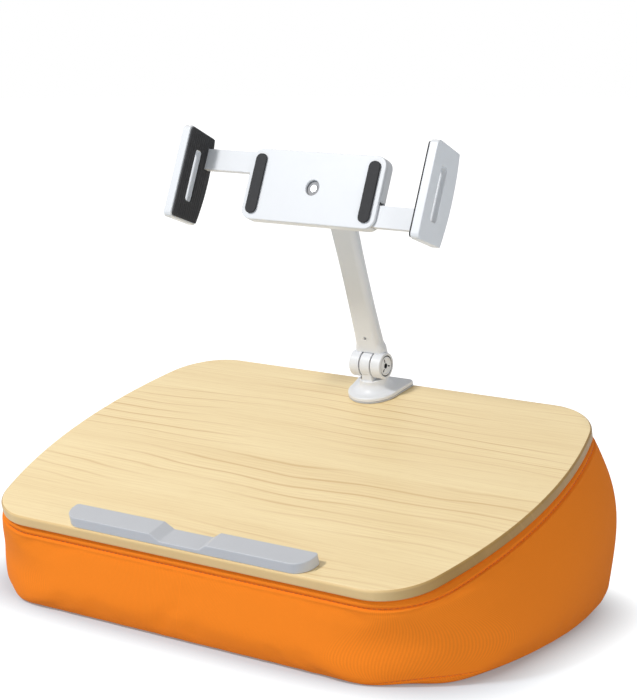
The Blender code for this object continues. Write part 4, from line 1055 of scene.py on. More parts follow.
def piece_of(name, maker, place, *looks):
    """A finished object from a shape made in the frame place."""
    maker.transform(place)
    piece = loose_object(name, maker)
    piece.data.name = name
    for look in looks:
        piece.data.materials.append(finishes[look].material)
    crease(piece)
    step = piece.modifiers.new("even_normals", "WEIGHTED_NORMAL")
    step.keep_sharp = True
    return settle(piece)


def stand_in(piece, look, *nodes):
    """The piece rides with its CAD nodes and stands for them."""
    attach(piece, frame["nodes"][nodes[0]]["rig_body"])
    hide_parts(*nodes)


def dress(name, maker, place, look, *nodes):
    """A finished piece of one look, in place of its CAD nodes."""
    stand_in(piece_of(name, maker, place, look), look, *nodes)


# Geometry Nodes

class Pattern(Graph):
    """A node tree that repeats a small shape, with named inputs for its sizes."""

    def __init__(self, name):
        self.group = bpy.data.node_groups.new(name, "GeometryNodeTree")
        super().__init__(self.group)
        for way in ("INPUT", "OUTPUT"):
            self.group.interface.new_socket("Geometry", in_out=way, socket_type="NodeSocketGeometry")
        self.start = self.nodes.new("NodeGroupInput")
        self.points = Value(self, self.start.outputs[0])
        self.sizes = {}

    def size(self, name, value):
        """A named input; value is what it is set to."""
        socket = self.group.interface.new_socket(name, in_out="INPUT", socket_type="NodeSocketFloat")
        socket.default_value = value
        self.sizes[socket.identifier] = value
        return Value(self, self.start.outputs[name])

    def vector(self, *parts):
        return self.node("ShaderNodeCombineXYZ", None, dict(enumerate(parts)))

    def cylinder(self, sides, radius, depth, middle):
        """An upright cylinder with its middle at that height."""
        made = self.node("GeometryNodeMeshCylinder", None, {
            "Vertices": sides, "Radius": radius, "Depth": depth,
        })
        return self.node("GeometryNodeTransform", None, {
            "Geometry": made, "Translation": self.vector(0.0, 0.0, middle),
        })

    def joined(self, *parts):
        made = self.node("GeometryNodeJoinGeometry")
        for part in parts:
            self.links.new(part.socket, made.socket.node.inputs[0])
        return made

    def copies(self, points, shape, **inputs):
        """The shape at every point; the inputs turn and scale it."""
        return self.node("GeometryNodeInstanceOnPoints", None, {
            "Points": points, "Instance": shape, **inputs,
        })

    def apply(self, piece, geometry, look):
        """Realise the copies, give them a finish and leave a plain mesh on the piece."""
        real = self.node("GeometryNodeRealizeInstances", None, {0: geometry})
        painted = self.node("GeometryNodeSetMaterial", None, {
            "Geometry": real, "Material": finishes[look].material,
        })
        self.node("NodeGroupOutput", None, {0: painted})
        step = piece.modifiers.new("pattern", "NODES")
        step.node_group = self.group
        for identifier, value in self.sizes.items():
            step[identifier] = value
        settle(piece)
        piece.data.name = piece.name
        return piece


def bare_points(name, points, edges=()):
    """An object of points, and of the edges between them, for a pattern to follow."""
    mesh = bpy.data.meshes.new(name)
    mesh.from_pydata(points, edges, [])
    return placed_object(name, mesh)


def stitched(name, points, edges, pitch, look):
    """Stitches along a line of edges, each a thread that dips at both ends."""
    pattern = Pattern("stitches_along_a_seam")
    gap = pattern.size("Pitch", pitch)
    length = pattern.size("Length", pitch * STITCH_SHARE)
    thickness = pattern.size("Thickness", THREAD_THICKNESS)
    line = pattern.node("GeometryNodeMeshToCurve", None, {0: pattern.points})
    spaced = pattern.node("GeometryNodeResampleCurve", {"mode": "LENGTH"}, {"Curve": line, "Length": gap})
    tangent = pattern.node("GeometryNodeInputTangent")
    turn = pattern.node("FunctionNodeAlignRotationToVector", {"axis": "X"}, {"Vector": tangent})
    thread = pattern.node("GeometryNodeMeshUVSphere", None, {"Segments": 8, "Rings": 6, "Radius": 1.0})
    scale = pattern.vector(length * 0.5, thickness * 0.5, thickness * 0.5)
    stitches = pattern.copies(spaced, thread, Rotation=turn, Scale=scale)
    return pattern.apply(bare_points(name, points, edges), stitches, look)


def make_screws(name, places, sizes, matrix, look, *nodes):
    """Screws with a cross recess, their heads' flat tops at the places and shanks along
    +Z. sizes holds the radius and height of the head, the shank's radius and the length
    under the head."""
    pattern = Pattern(name + "_pattern")
    names = ("Head radius", "Head height", "Shank radius", "Length")
    radius, height, shank, reach = [pattern.size(*row) for row in zip(names, sizes)]
    head = pattern.cylinder(HEAD_SIDES, radius, height, height * 0.5)
    stem = pattern.cylinder(SHANK_SIDES, shank, reach, reach * 0.5 + height)
    length = radius * CROSS_LENGTH_SHARE
    width = radius * CROSS_WIDTH_SHARE
    depth = height * CROSS_DEPTH_SHARE
    cross = [
        pattern.node("GeometryNodeMeshCube", None, {"Size": pattern.vector(*size)})
        for size in ((length, width, depth), (width, length, depth))
    ]
    recessed = pattern.node("GeometryNodeMeshBoolean", {"operation": "DIFFERENCE", "solver": "EXACT"}, {
        0: head, 1: pattern.joined(*cross),
    })
    screws = pattern.copies(pattern.points, pattern.joined(recessed, stem))
    piece = pattern.apply(bare_points(name, places), screws, look)
    piece.data.transform(matrix)
    crease(piece)
    stand_in(piece, look, *nodes)


# Board

def board_outline(inset):
    bow = Bow(
        BOARD_WIDTH / 2 - inset, -BOARD_DEPTH / 2 + inset, BOARD_DEPTH / 2 - inset,
        BOARD_WIDEST_SETBACK, BOARD_SIDE_RADIUS - inset,
        BOARD_FRONT_CORNER - inset, BOARD_REAR_CORNER - inset,
    )
    return [on_bow(bow, station) for station in BOARD_STATIONS]


def ledge_middle():
    return -BOARD_DEPTH / 2 + LEDGE_SETBACK + LEDGE_DEPTH / 2


def board_screw_places():
    """Across, along and how far each screw rises above the board."""
    places = [(LEDGE_SCREW_SPACING * side, ledge_middle(), LEDGE_SCREW_BITE) for side in (-1, 1)]
    places += [(0.0, POST_PLACE + FOOT_SCREW_SPREAD * side, FOOT_SCREW_BITE) for side in (-1, 1)]
    return places


def make_board(settings):
    edge = settings.edge_round
    rim = [
        (edge * (1 - math.sin(turn)), edge * (1 - math.cos(turn)))
        for turn in turns(0.0, math.pi / 2, 2 * EDGE_STEPS)
    ]
    levels = [(inset, rise - BOARD_THICKNESS) for inset, rise in rim]
    levels += [(inset, -rise) for inset, rise in reversed(rim)]
    shape = skin([[(*point, height) for point in board_outline(inset)] for inset, height in levels])
    radii = (SCREW_HEAD + SCREW_HEAD_CLEARANCE, SCREW_SHANK + BORE_GAP)
    depths = (-BOARD_THICKNESS - CUT_OVERRUN, SCREW_HEAD_RECESS - BOARD_THICKNESS, CUT_OVERRUN)
    shape = cut(shape, *(
        stepped_rod(radii, depths, "Z", (across, along), SCREW_HOLE_SIDES)
        for across, along, bite in board_screw_places()
    ))
    for face in shape.faces:
        face.material_index = 0 if abs(face.normal.z) > math.cos(FACE_LEAN) else 1
    board = piece_of("board", shape, BOARD_FRAME, "wood_face", "wood_edge")
    stand_in(board, "wood_face", "lap_board")


def make_board_screws():
    under = SCREW_HEAD_RECESS - SEAT_GAP - SCREW_HEAD_HEIGHT - BOARD_THICKNESS
    groups = (
        ("ledge_screws", board_screw_places()[:2], ("ledge_screw_left", "ledge_screw_right")),
        ("foot_screws", board_screw_places()[2:], ("foot_screw_front", "foot_screw_rear")),
    )
    for name, places, nodes in groups:
        length = places[0][2] - under - SCREW_HEAD_HEIGHT
        sizes = (SCREW_HEAD, SCREW_HEAD_HEIGHT, SCREW_SHANK, length)
        heads = [(across, along, under) for across, along, bite in places]
        make_screws(name, heads, sizes, BOARD_FRAME, "steel", *nodes)


def make_tapes():
    top = -BOARD_THICKNESS - SEAT_GAP
    layers = (("hook", top), ("loop", top - TAPE_THICKNESS - SEAT_GAP))
    for side_name, side in SIDES:
        middle = side * TAPE_SPACING / 2
        outline = rounded_rectangle(
            (middle - TAPE_WIDTH / 2, -TAPE_LENGTH / 2), (middle + TAPE_WIDTH / 2, TAPE_LENGTH / 2),
            (TAPE_CORNER,) * 4,
        )
        for kind, face in layers:
            shape = soften(prism(outline, face - TAPE_THICKNESS, face), TAPE_EDGE)
            dress(f"{kind}_tape_{side_name}", shape, BOARD_FRAME, "tape", f"{kind}_strip_{side_name}")


def make_ledge(settings):
    front = -BOARD_DEPTH / 2 + LEDGE_SETBACK
    outline = rounded_rectangle(
        (-LEDGE_LENGTH / 2, front), (LEDGE_LENGTH / 2, front + LEDGE_DEPTH),
        (LEDGE_FRONT_CORNER, LEDGE_FRONT_CORNER, LEDGE_REAR_CORNER, LEDGE_REAR_CORNER),
    )
    top = SEAT_GAP + LEDGE_HEIGHT
    floor = SEAT_GAP + NOTCH_FLOOR_HEIGHT
    flare = (NOTCH_TOP_LENGTH - NOTCH_FLOOR_LENGTH) / 2 * CUT_OVERRUN / (top - floor)
    notch = [
        (-NOTCH_FLOOR_LENGTH / 2, floor),
        (NOTCH_FLOOR_LENGTH / 2, floor),
        (NOTCH_TOP_LENGTH / 2 + flare, top + CUT_OVERRUN),
        (-NOTCH_TOP_LENGTH / 2 - flare, top + CUT_OVERRUN),
    ]
    shape = cut(
        prism(outline, SEAT_GAP, top),
        prism(notch, front - CUT_OVERRUN, front + LEDGE_DEPTH + CUT_OVERRUN, "Y"),
    )
    soften(shape, settings.ledge_edge, lambda middle: middle.z > SEAT_GAP + CUT_OVERRUN)
    dress("ledge", shape, BOARD_FRAME, "ledge", "front_ledge")


# Cushion

def underside_height(along):
    """Height of the board's underside above the table, at a place from above."""
    drop = BOARD_THICKNESS / math.cos(BOARD_TILT)
    return BOARD_CENTRE.z + along * math.tan(BOARD_TILT) - drop


def cover_point(station, share, inset):
    """The cover seen from above; share runs from 0 at the table to 1 at the board."""
    moves = {}
    for part, (bulge, spread) in COVER_MOVES.items():
        lift = FRONT_CORNER_LIFT if part == "front_corner" else BULGE_LIFT
        swell = math.sin(math.pi * max(share, 0.0) ** lift)
        moves[part] = bulge * swell + spread * (1 - share) - (COVER_TOP_INSET + inset)
    middle = BOARD_THICKNESS * math.sin(BOARD_TILT)
    half_depth = BOARD_DEPTH / 2 * math.cos(BOARD_TILT)
    return on_bow(Bow(
        BOARD_WIDTH / 2 + moves["side"],
        middle - half_depth - moves["front"],
        middle + half_depth + moves["rear"],
        middle + BOARD_WIDEST_SETBACK * math.cos(BOARD_TILT),
        BOARD_SIDE_RADIUS + moves["side"],
        BOARD_FRONT_CORNER + moves["front_corner"],
        BOARD_REAR_CORNER + moves["rear_corner"],
    ), station)


def cover_loop(place):
    """A loop round the cover; place gives a height and an inset from the station and the
    height of the local top."""
    loop = []
    for station in STATIONS:
        top = underside_height(cover_point(station, 1.0, 0.0)[1]) - SEAT_GAP
        height, inset = place(station, top)
        loop.append((*cover_point(station, height / top, inset), height))
    return loop


def front_to_side(pair, station):
    """A size that changes round the front corners, from its front value to its side value."""
    side, part, share = station
    if part == "front":
        return pair[0]
    if part == "front_corner":
        return pair[0] + (pair[1] - pair[0]) * smooth(share)
    return pair[1]


def floor_radius(station):
    """Radius of the round where the cover meets the table."""
    side, part, share = station
    swell = math.sin(math.pi * share) ** 2 if part == "front_corner" else 0.0
    return front_to_side(FLOOR_ROUND, station) + FLOOR_ROUND_SWELL * swell


def floor_round_loop(angle):
    """A loop on the round at the table; angle gives its place there for a station."""
    def place(station, top):
        radius = floor_radius(station)
        turn = angle(station)
        return radius * (1 - math.cos(turn)), radius * (1 - math.sin(turn))
    return cover_loop(place)


def wall_loop(share):
    """A loop at a share of the wall, from the round at the table to the upper seam."""
    def place(station, top):
        radius = floor_radius(station)
        return radius + (top - radius - front_to_side(UPPER_SEAM_DROP, station)) * share, 0.0
    return cover_loop(place)


def below_top_loop(drop, inset):
    """A loop under the plane of the cover's top; drop gives how far for a station."""
    loop = cover_loop(lambda station, top: (top - drop(station), inset))
    return [
        (across, along, underside_height(along) - SEAT_GAP - drop(station))
        for (across, along, height), station in zip(loop, STATIONS)
    ]


def near_seam_loop(offset):
    """A loop at a distance under the upper seam."""
    return below_top_loop(lambda station: front_to_side(UPPER_SEAM_DROP, station) + offset, 0.0)


def top_plane_loop(inset, sink):
    ring = [cover_point(station, 1.0, inset) for station in STATIONS]
    return [(*point, underside_height(point[1]) - SEAT_GAP - sink) for point in ring]


def shrunk(loop, share):
    """A smaller copy of a flat loop about its middle."""
    middle = sum((Vector(point) for point in loop), Vector()) / len(loop)
    return [tuple(middle + (Vector(point) - middle) * share) for point in loop]


def cover_levels():
    """Loops from the middle of the floor, up the side and in over the top. Each has the
    name of the panel that ends there."""
    floor = floor_round_loop(lambda station: 0.0)
    levels = [("bottom", shrunk(floor, share)) for share in reversed(CAP_SHARES)]
    levels.append(("bottom", floor))
    for share in FLOOR_ROUND_SHARES:
        levels.append(("bottom", floor_round_loop(
            lambda station, share=share: front_to_side(LOWER_SEAM_ANGLE, station) * share
        )))
    for share in WALL_START_SHARES:
        levels.append(("side", floor_round_loop(
            lambda station, share=share:
            front_to_side(LOWER_SEAM_ANGLE, station) * (1 - share) + math.pi / 2 * share
        )))
    levels += [("side", wall_loop(share)) for share in (0.0, *WALL_SHARES)]
    levels += [("side", near_seam_loop(offset)) for offset in (*BELOW_SEAM, 0.0)]
    levels += [("top", near_seam_loop(offset)) for offset in ABOVE_SEAM]
    for turn in turns(0.0, math.pi / 2, EDGE_STEPS):
        inset = COVER_TOP_ROUND * (1 - math.cos(turn))
        drop = COVER_TOP_ROUND * (1 - math.sin(turn))
        levels.append(("top", below_top_loop(lambda station, drop=drop: drop, inset)))
    levels.append(("top", top_plane_loop(COVER_RIM, 0.0)))
    sunk = top_plane_loop(COVER_RIM + COVER_SINK, COVER_SINK)
    levels.append(("top", sunk))
    levels += [("top", shrunk(sunk, share)) for share in CAP_SHARES]
    return levels


def climb(levels):
    """Distance up the cover's face from the lower seam, for each level and station."""
    seam = max(index for index, (panel, loop) in enumerate(levels) if panel == "bottom")
    rises = [[0.0] * len(STATIONS) for level in levels]
    upwards = [(index, index - 1, 1) for index in range(seam + 1, len(levels))]
    inwards = [(index, index + 1, -1) for index in range(seam - 1, -1, -1)]
    for index, before, sign in upwards + inwards:
        for station in range(len(STATIONS)):
            step = Vector(levels[index][1][station]) - Vector(levels[before][1][station])
            rises[index][station] = rises[before][station] + sign * step.length
    return rises


def girth(loop):
    """Distance round a loop up to each of its points, and all the way round."""
    distances = [0.0]
    for first, second in zip(loop, loop[1:] + loop[:1]):
        distances.append(distances[-1] + (Vector(second) - Vector(first)).length)
    return distances


def cover_shape():
    """The closed cover with its cloth map, and its distances from the two seams."""
    levels = cover_levels()
    rises = climb(levels)
    upper = max(index for index, (panel, loop) in enumerate(levels) if panel == "side")
    around = girth(levels[upper][1])
    made = bmesh.new()
    chart = made.loops.layers.uv.new(CLOTH_MAP)
    from_lower = made.verts.layers.float.new("from_lower")
    from_upper = made.verts.layers.float.new("from_upper")
    rings = []
    for index, (panel, loop) in enumerate(levels):
        ring = [made.verts.new(point) for point in loop]
        for station, vert in enumerate(ring):
            vert[from_lower] = rises[index][station]
            vert[from_upper] = rises[index][station] - rises[upper][station]
        rings.append(ring)
    count = len(STATIONS)
    for index in range(len(rings) - 1):
        flat = levels[index + 1][0] == "bottom"
        for station in range(count):
            after = (station + 1) % count
            corners = (
                (rings[index][station], around[station], rises[index][station]),
                (rings[index][after], around[station + 1], rises[index][after]),
                (rings[index + 1][after], around[station + 1], rises[index + 1][after]),
                (rings[index + 1][station], around[station], rises[index + 1][station]),
            )
            face = made.faces.new([corner[0] for corner in corners])
            for loop, (vert, across, up) in zip(face.loops, corners):
                loop[chart].uv = vert.co.xy if flat else (across, up)
    for ring in (rings[0], rings[-1]):
        middle = made.verts.new(sum((vert.co for vert in ring), Vector()) / count)
        middle[from_lower] = ring[0][from_lower]
        middle[from_upper] = ring[0][from_upper]
        for station in range(count):
            face = made.faces.new((ring[station], ring[(station + 1) % count], middle))
            for loop in face.loops:
                loop[chart].uv = loop.vert.co.xy
    bmesh.ops.recalc_face_normals(made, faces=made.faces)
    return made


def seam_shares(mesh):
    """For each point: 0 at and beyond the side panel's seams, rising to 1 between them."""
    lower = mesh.attributes["from_lower"].data
    upper = mesh.attributes["from_upper"].data
    shares = []
    for index in range(len(mesh.vertices)):
        low = lower[index].value
        high = -upper[index].value
        inside = low > 0.0 and high > 0.0
        shares.append(math.sin(math.pi * low / (low + high)) if inside else 0.0)
    return shares


def blow_up(piece, settings):
    """Swell the side panel between its seams with a cloth simulation."""
    scene = bpy.context.scene
    mesh = piece.data
    shares = seam_shares(mesh)
    slack = settings.swell * SLACK_SHARE
    start = [vert.co - vert.normal * slack * share for vert, share in zip(mesh.vertices, shares)]
    for vert, place in zip(mesh.vertices, start):
        vert.co = place
    held = piece.vertex_groups.new(name="held")
    for index, share in enumerate(shares):
        held.add([index], max(0.0, 1.0 - share * HOLD_FADE), "REPLACE")
    cloth = piece.modifiers.new("cloth", "CLOTH")
    cloth.settings.quality = 5
    cloth.settings.mass = 0.3
    cloth.settings.tension_stiffness = 18.0
    cloth.settings.compression_stiffness = 12.0
    cloth.settings.shear_stiffness = 6.0
    cloth.settings.bending_stiffness = 0.8
    cloth.settings.use_pressure = True
    cloth.settings.uniform_pressure_force = settings.pressure
    cloth.settings.shrink_min = -0.006
    cloth.settings.vertex_group_mass = "held"
    cloth.settings.effector_weights.gravity = 0.0
    cloth.point_cache.frame_start = 1
    cloth.point_cache.frame_end = CLOTH_FRAMES
    for number in range(1, CLOTH_FRAMES + 1):
        scene.frame_set(number)
    graph = bpy.context.evaluated_depsgraph_get()
    blown = [vert.co.copy() for vert in piece.evaluated_get(graph).data.vertices]
    piece.modifiers.clear()
    piece.vertex_groups.clear()
    scene.frame_set(1)
    for vert, before, after, share in zip(mesh.vertices, start, blown, shares):
        move = after - before
        most = settings.swell * share ** SWELL_FADE
        if move.length > 0.0 and most > 0.0:
            vert.co = before + move * (most * math.tanh(move.length / most) / move.length)
    mesh.update()


def seam_profile(distance, depth):
    """How far the cloth is drawn in beside a seam; it rises a little on both sides."""
    groove = math.exp(-(distance / SEAM_GROOVE) ** 2)
    roll = math.exp(-((abs(distance) - SEAM_ROLL) / SEAM_GROOVE) ** 2)
    return depth * (groove - SEAM_ROLL_SHARE * roll)


def draw_seams(piece, settings):
    """Press the two seams into the cover, with small puckers beside them."""
    mesh = piece.data
    lower = mesh.attributes["from_lower"].data
    upper = mesh.attributes["from_upper"].data
    normals = [vert.normal.copy() for vert in mesh.vertices]
    for index, vert in enumerate(mesh.vertices):
        inwards = 0.0
        for distance, share in ((upper[index].value, 1.0), (lower[index].value, LOWER_SEAM_SHARE)):
            inwards += seam_profile(distance, settings.seam_depth * share)
            near = math.exp(-(distance / PUCKER_REACH) ** 2)
            if near > 0.01:
                wander = noise.noise(vert.co * PUCKERS_PER_METRE)
                inwards += PUCKER_DEPTH * wander * near * share
        vert.co -= normals[index] * inwards
        vert.co.z = max(vert.co.z, 0.0)
    mesh.update()


def seam_line(mesh, attribute, offset):
    """Points and edges of the line where a distance from a seam is zero."""
    distances = mesh.attributes[attribute].data
    on_line = {vert.index for vert in mesh.vertices if abs(distances[vert.index].value) < SEAM_EPSILON}
    numbers = {index: number for number, index in enumerate(sorted(on_line))}
    points = [mesh.vertices[index].co + mesh.vertices[index].normal * offset for index in sorted(on_line)]
    edges = [
        (numbers[edge.vertices[0]], numbers[edge.vertices[1]])
        for edge in mesh.edges
        if edge.vertices[0] in on_line and edge.vertices[1] in on_line
    ]
    return points, edges


def make_cushion(settings):
    cushion = loose_object("cushion", cover_shape())
    blow_up(cushion, settings)
    step = cushion.modifiers.new("fine", "SUBSURF")
    step.levels = step.render_levels = 1
    settle(cushion)
    draw_seams(cushion, settings)
    cushion.data.name = "cushion"
    cushion.data.materials.append(finishes["cloth"].material)
    cushion.data.shade_smooth()
    for name, attribute in (("upper_seam_stitches", "from_upper"), ("lower_seam_stitches", "from_lower")):
        points, edges = seam_line(cushion.data, attribute, STITCH_LIFT)
        stitches = stitched(name, points, edges, settings.stitch_pitch, "thread")
        stitches.data.shade_smooth()
        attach(stitches, "base")
    for attribute in ("from_upper", "from_lower"):
        cushion.data.attributes.remove(cushion.data.attributes[attribute])
    stand_in(
        cushion, "cloth",
        "cover_side_panel", "cover_top_panel", "cover_bottom_panel", "cushion_filling",
    )


# Foot and hinges

def foot_outline():
    """From above: a round front, sides that open a little, and a straight rear edge."""
    half_rear = FOOT_REAR_WIDTH / 2
    centre_along = BOARD_DEPTH / 2 - FOOT_REAR_CORNER
    points = arc((0.0, POST_PLACE), FOOT_FRONT_WIDTH / 2, math.pi, 2 * math.pi, 4 * CORNER_STEPS)
    for side, start in ((1, 0.0), (-1, math.pi / 2)):
        centre = (side * (half_rear - FOOT_REAR_CORNER), centre_along)
        points += arc(centre, FOOT_REAR_CORNER, start, start + math.pi / 2, CORNER_STEPS)
    return points


def keyhole(centre, foot, half_web):
    """Outline of a knuckle: a round eye on a straight web that starts at foot, below it."""
    side = math.asin(half_web / HINGE_RADIUS)
    points = [(centre[0] - half_web, foot), (centre[0] + half_web, foot)]
    return points + arc(centre, HINGE_RADIUS, side - math.pi / 2, math.pi * 3 / 2 - side, ROUND_SIDES)


def knuckle_bore(centre=(0.0, 0.0)):
    far = KNUCKLE_HALF_WIDTH + CUT_OVERRUN
    return rod(BOLT_RADIUS + BORE_GAP, -far, far, "X", centre)


def washer_shape(radius, low, high, edge, axis, centre=(0.0, 0.0)):
    bore = rod(BOLT_RADIUS + BORE_GAP, low - CUT_OVERRUN, high + CUT_OVERRUN, axis, centre)
    return cut(disc(radius - CUT_OVERRUN, low, high, axis, edge, centre), bore)


def make_foot(settings):
    edge = settings.edge_round
    gasket = soften(prism(foot_outline(), SEAT_GAP, SEAT_GAP + FOOT_BASE_THICKNESS), edge / 4)
    dress("foot_gasket", gasket, BOARD_FRAME, "ledge", "foot_base")
    plate = prism(foot_outline(), FOOT_BOTTOM, FOOT_TOP)
    half_way = (FOOT_BOTTOM + FOOT_TOP) / 2
    soften(plate, edge * FOOT_EDGE_SHARE, lambda middle: middle.z > half_way)
    soften(plate, edge / 4, lambda middle: middle.z < half_way)
    flare = [(POST_RADIUS + FLARE_RADIUS, FOOT_TOP - FOOT_PLATE_THICKNESS / 2)]
    flare += [
        (POST_RADIUS + FLARE_RADIUS * (1 - math.sin(turn)), FOOT_TOP + FLARE_RADIUS * (1 - math.cos(turn)))
        for turn in turns(0.0, math.pi / 2, CORNER_STEPS)
    ]
    flare += rounded_rim(POST_RADIUS, POST_SHOULDER, -1, edge)[::-1]
    post = turned(flare, "Z", (0.0, POST_PLACE))
    hinge = (POST_PLACE, HINGE_HEIGHT)
    half_web = math.sqrt(POST_RADIUS ** 2 - KNUCKLE_HALF_WIDTH ** 2) - CUT_OVERRUN
    eye = keyhole(hinge, (FOOT_TOP + POST_SHOULDER) / 2, half_web)
    knuckle = prism(eye, -KNUCKLE_HALF_WIDTH, KNUCKLE_HALF_WIDTH, "X")
    soften(knuckle, edge / 2, lambda middle: middle.z > POST_SHOULDER)
    shape = cut(joined(plate, post, knuckle), knuckle_bore(hinge))
    dress("foot", shape, BOARD_FRAME, "plastic", "mount_foot")


def bolt_shape(along_arm):
    """A hinge bolt with a dished head, a hexagon socket, three grooves and a dark ring that lies in the gap
    round its head. The ring is painted shade in that gap, and the socket and grooves are painted dark as
    shade too."""
    centre = (0.0, along_arm)
    head_end = HINGE_HALF_LENGTH - BOLT_RECESS + SEAT_GAP + BOLT_HEAD_HEIGHT
    under_head = head_end - BOLT_HEAD_HEIGHT
    dish = head_end - BOLT_DISH_DEPTH
    socket_floor = head_end - BOLT_SOCKET_DEPTH
    over = head_end + CUT_OVERRUN
    lip = BOLT_HEAD_RADIUS * BOLT_LIP_SHARE
    hub = BOLT_SOCKET * BOLT_HUB_SHARE
    profile = [(BOLT_RADIUS, -HINGE_HALF_LENGTH + CUT_OVERRUN), (BOLT_RADIUS, under_head)]
    profile += rounded_rim(BOLT_HEAD_RADIUS, under_head, 1, SEAT_GAP)
    profile += rounded_rim(BOLT_HEAD_RADIUS, head_end, -1, SEAT_GAP)[::-1]
    profile += [(lip, head_end), (lip - BOLT_DISH_DEPTH / 2, dish), (hub, dish)]
    tools = [rod(BOLT_SOCKET, socket_floor, over, "X", centre, HEXAGON)]
    for number in range(BOLT_GROOVE_COUNT):
        turn = math.pi / 2 + 2 * math.pi * number / BOLT_GROOVE_COUNT
        outwards = Vector((math.cos(turn), math.sin(turn)))
        sideways = Vector((-outwards.y, outwards.x)) * BOLT_GROOVE_WIDTH / 2
        near = Vector(centre) + outwards * hub
        far = Vector(centre) + outwards * (lip - BOLT_DISH_DEPTH)
        outline = (near - sideways, far - sideways, far + sideways, near + sideways)
        tools.append(prism(outline, dish - BOLT_GROOVE_DEPTH, over, "X"))
    inner = BOLT_HEAD_RADIUS + BOLT_RING_PLAY
    outer = BOLT_HEAD_RADIUS + BOLT_RECESS_CLEARANCE - BOLT_RING_PLAY
    ring_end = head_end - BOLT_RING_DEPTH
    section = ((inner, under_head), (outer, under_head), (outer, ring_end), (inner, ring_end))
    ring = turned(section, "X", centre, closed=True)
    shape = merged([cut(turned(profile, "X", centre), *tools), ring])
    # Painted shade: the ring in the gap, and the faces of the socket and the grooves, take the dark second
    # finish.
    for face in shape.faces:
        middle = face.calc_center_median()
        away = math.hypot(middle.y, middle.z - along_arm)
        sunk = socket_floor - SEAT_GAP < middle.x < dish - BOLT_RING_PLAY
        face.material_index = int(away > BOLT_HEAD_RADIUS or sunk and away < lip - BOLT_DISH_DEPTH / 2)
    return shape


def make_hinges():
    for name, along in (("base_hinge", 0.0), ("head_hinge", ARM_LENGTH)):
        bolt = piece_of(name + "_cap_bolt", bolt_shape(along), ARM_FRAME, "plastic", "blackened_and_shade")
        stand_in(bolt, "plastic", name + "_bolt")
        for side_name, side in SIDES:
            low, high = sorted((
                side * (KNUCKLE_HALF_WIDTH + SEAT_GAP),
                side * (KNUCKLE_HALF_WIDTH + SEAT_GAP + FRICTION_WASHER),
            ))
            ring = washer_shape(HINGE_RADIUS, low, high, FRICTION_WASHER / 4, "X", (0.0, along))
            piece_name = f"{name}_friction_washer_{side_name}"
            dress(piece_name, ring, ARM_FRAME, "nylon", f"{name}_washer_{side_name}")
        carried_over(name + "_nut", "steel")


def carried_over(node, look):
    """A CAD node that is shown as it is, with a better finish."""
    for slot in frame["nodes"][node].material_slots:
        slot.material = finishes[look].material


# Arm

def arm_levels():
    """Place along the arm, width and depth of each section of its bar."""
    levels = [(0.0, ARM_FORK_WIDTH, ARM_NECK_DEPTH)]
    for share in turns(0.0, 1.0, ARM_NECK_LEVELS):
        levels.append((
            ARM_NECK_START + (ARM_NECK_END - ARM_NECK_START) * share,
            ARM_FORK_WIDTH + (ARM_NECK_WIDTH - ARM_FORK_WIDTH) * smooth(share),
            ARM_NECK_DEPTH,
        ))
    for share in turns(0.0, 1.0, ARM_MIDDLE_LEVELS)[1:]:
        eased = 1 - (1 - share) ** 2
        levels.append((
            ARM_NECK_END + (ARM_LENGTH / 2 - ARM_NECK_END) * share,
            ARM_NECK_WIDTH + (ARM_WAIST_WIDTH - ARM_NECK_WIDTH) * eased,
            ARM_NECK_DEPTH + (ARM_WAIST_DEPTH - ARM_NECK_DEPTH) * eased,
        ))
    return levels + [(ARM_LENGTH - along, width, depth) for along, width, depth in levels[-2::-1]]


def arm_screw_seat():
    return ARM_SETBACK - ARM_NECK_DEPTH / 2 + ARM_SCREW_RECESS


def arm_screw_places():
    return ARM_SCREW_PLACE, ARM_LENGTH - ARM_SCREW_PLACE


def arm_tools():
    """Everything that is cut from the arm: its forks, bores, recesses and screw holes."""
    far = HINGE_HALF_LENGTH + CUT_OVERRUN
    nut = NUT_RADIUS + BOLT_RECESS_CLEARANCE
    nut_floor = NUT_RECESS - HINGE_HALF_LENGTH
    bore = BOLT_RADIUS + BORE_GAP
    fork = HINGE_RADIUS + KNUCKLE_CLEARANCE
    head = BOLT_HEAD_RADIUS + BOLT_RECESS_CLEARANCE
    head_floor = HINGE_HALF_LENGTH - BOLT_RECESS
    opening = [
        (nut, -far), (nut, nut_floor),
        (bore, nut_floor), (bore, -CHEEK_START),
        (fork, -CHEEK_START), (fork, CHEEK_START),
        (bore, CHEEK_START), (bore, head_floor),
        (head, head_floor), (head, far),
    ]
    tools = [turned(opening, "X", (0.0, end)) for end in (0.0, ARM_LENGTH)]
    radii = (ARM_SCREW_HEAD + BORE_GAP, ARM_SCREW_SHANK + BORE_GAP)
    places = (-far, arm_screw_seat(), ARM_SETBACK + ARM_SCREW_BITE + SEAT_GAP)
    return tools + [
        stepped_rod(radii, places, "Y", (0.0, along), SCREW_HOLE_SIDES) for along in arm_screw_places()
    ]


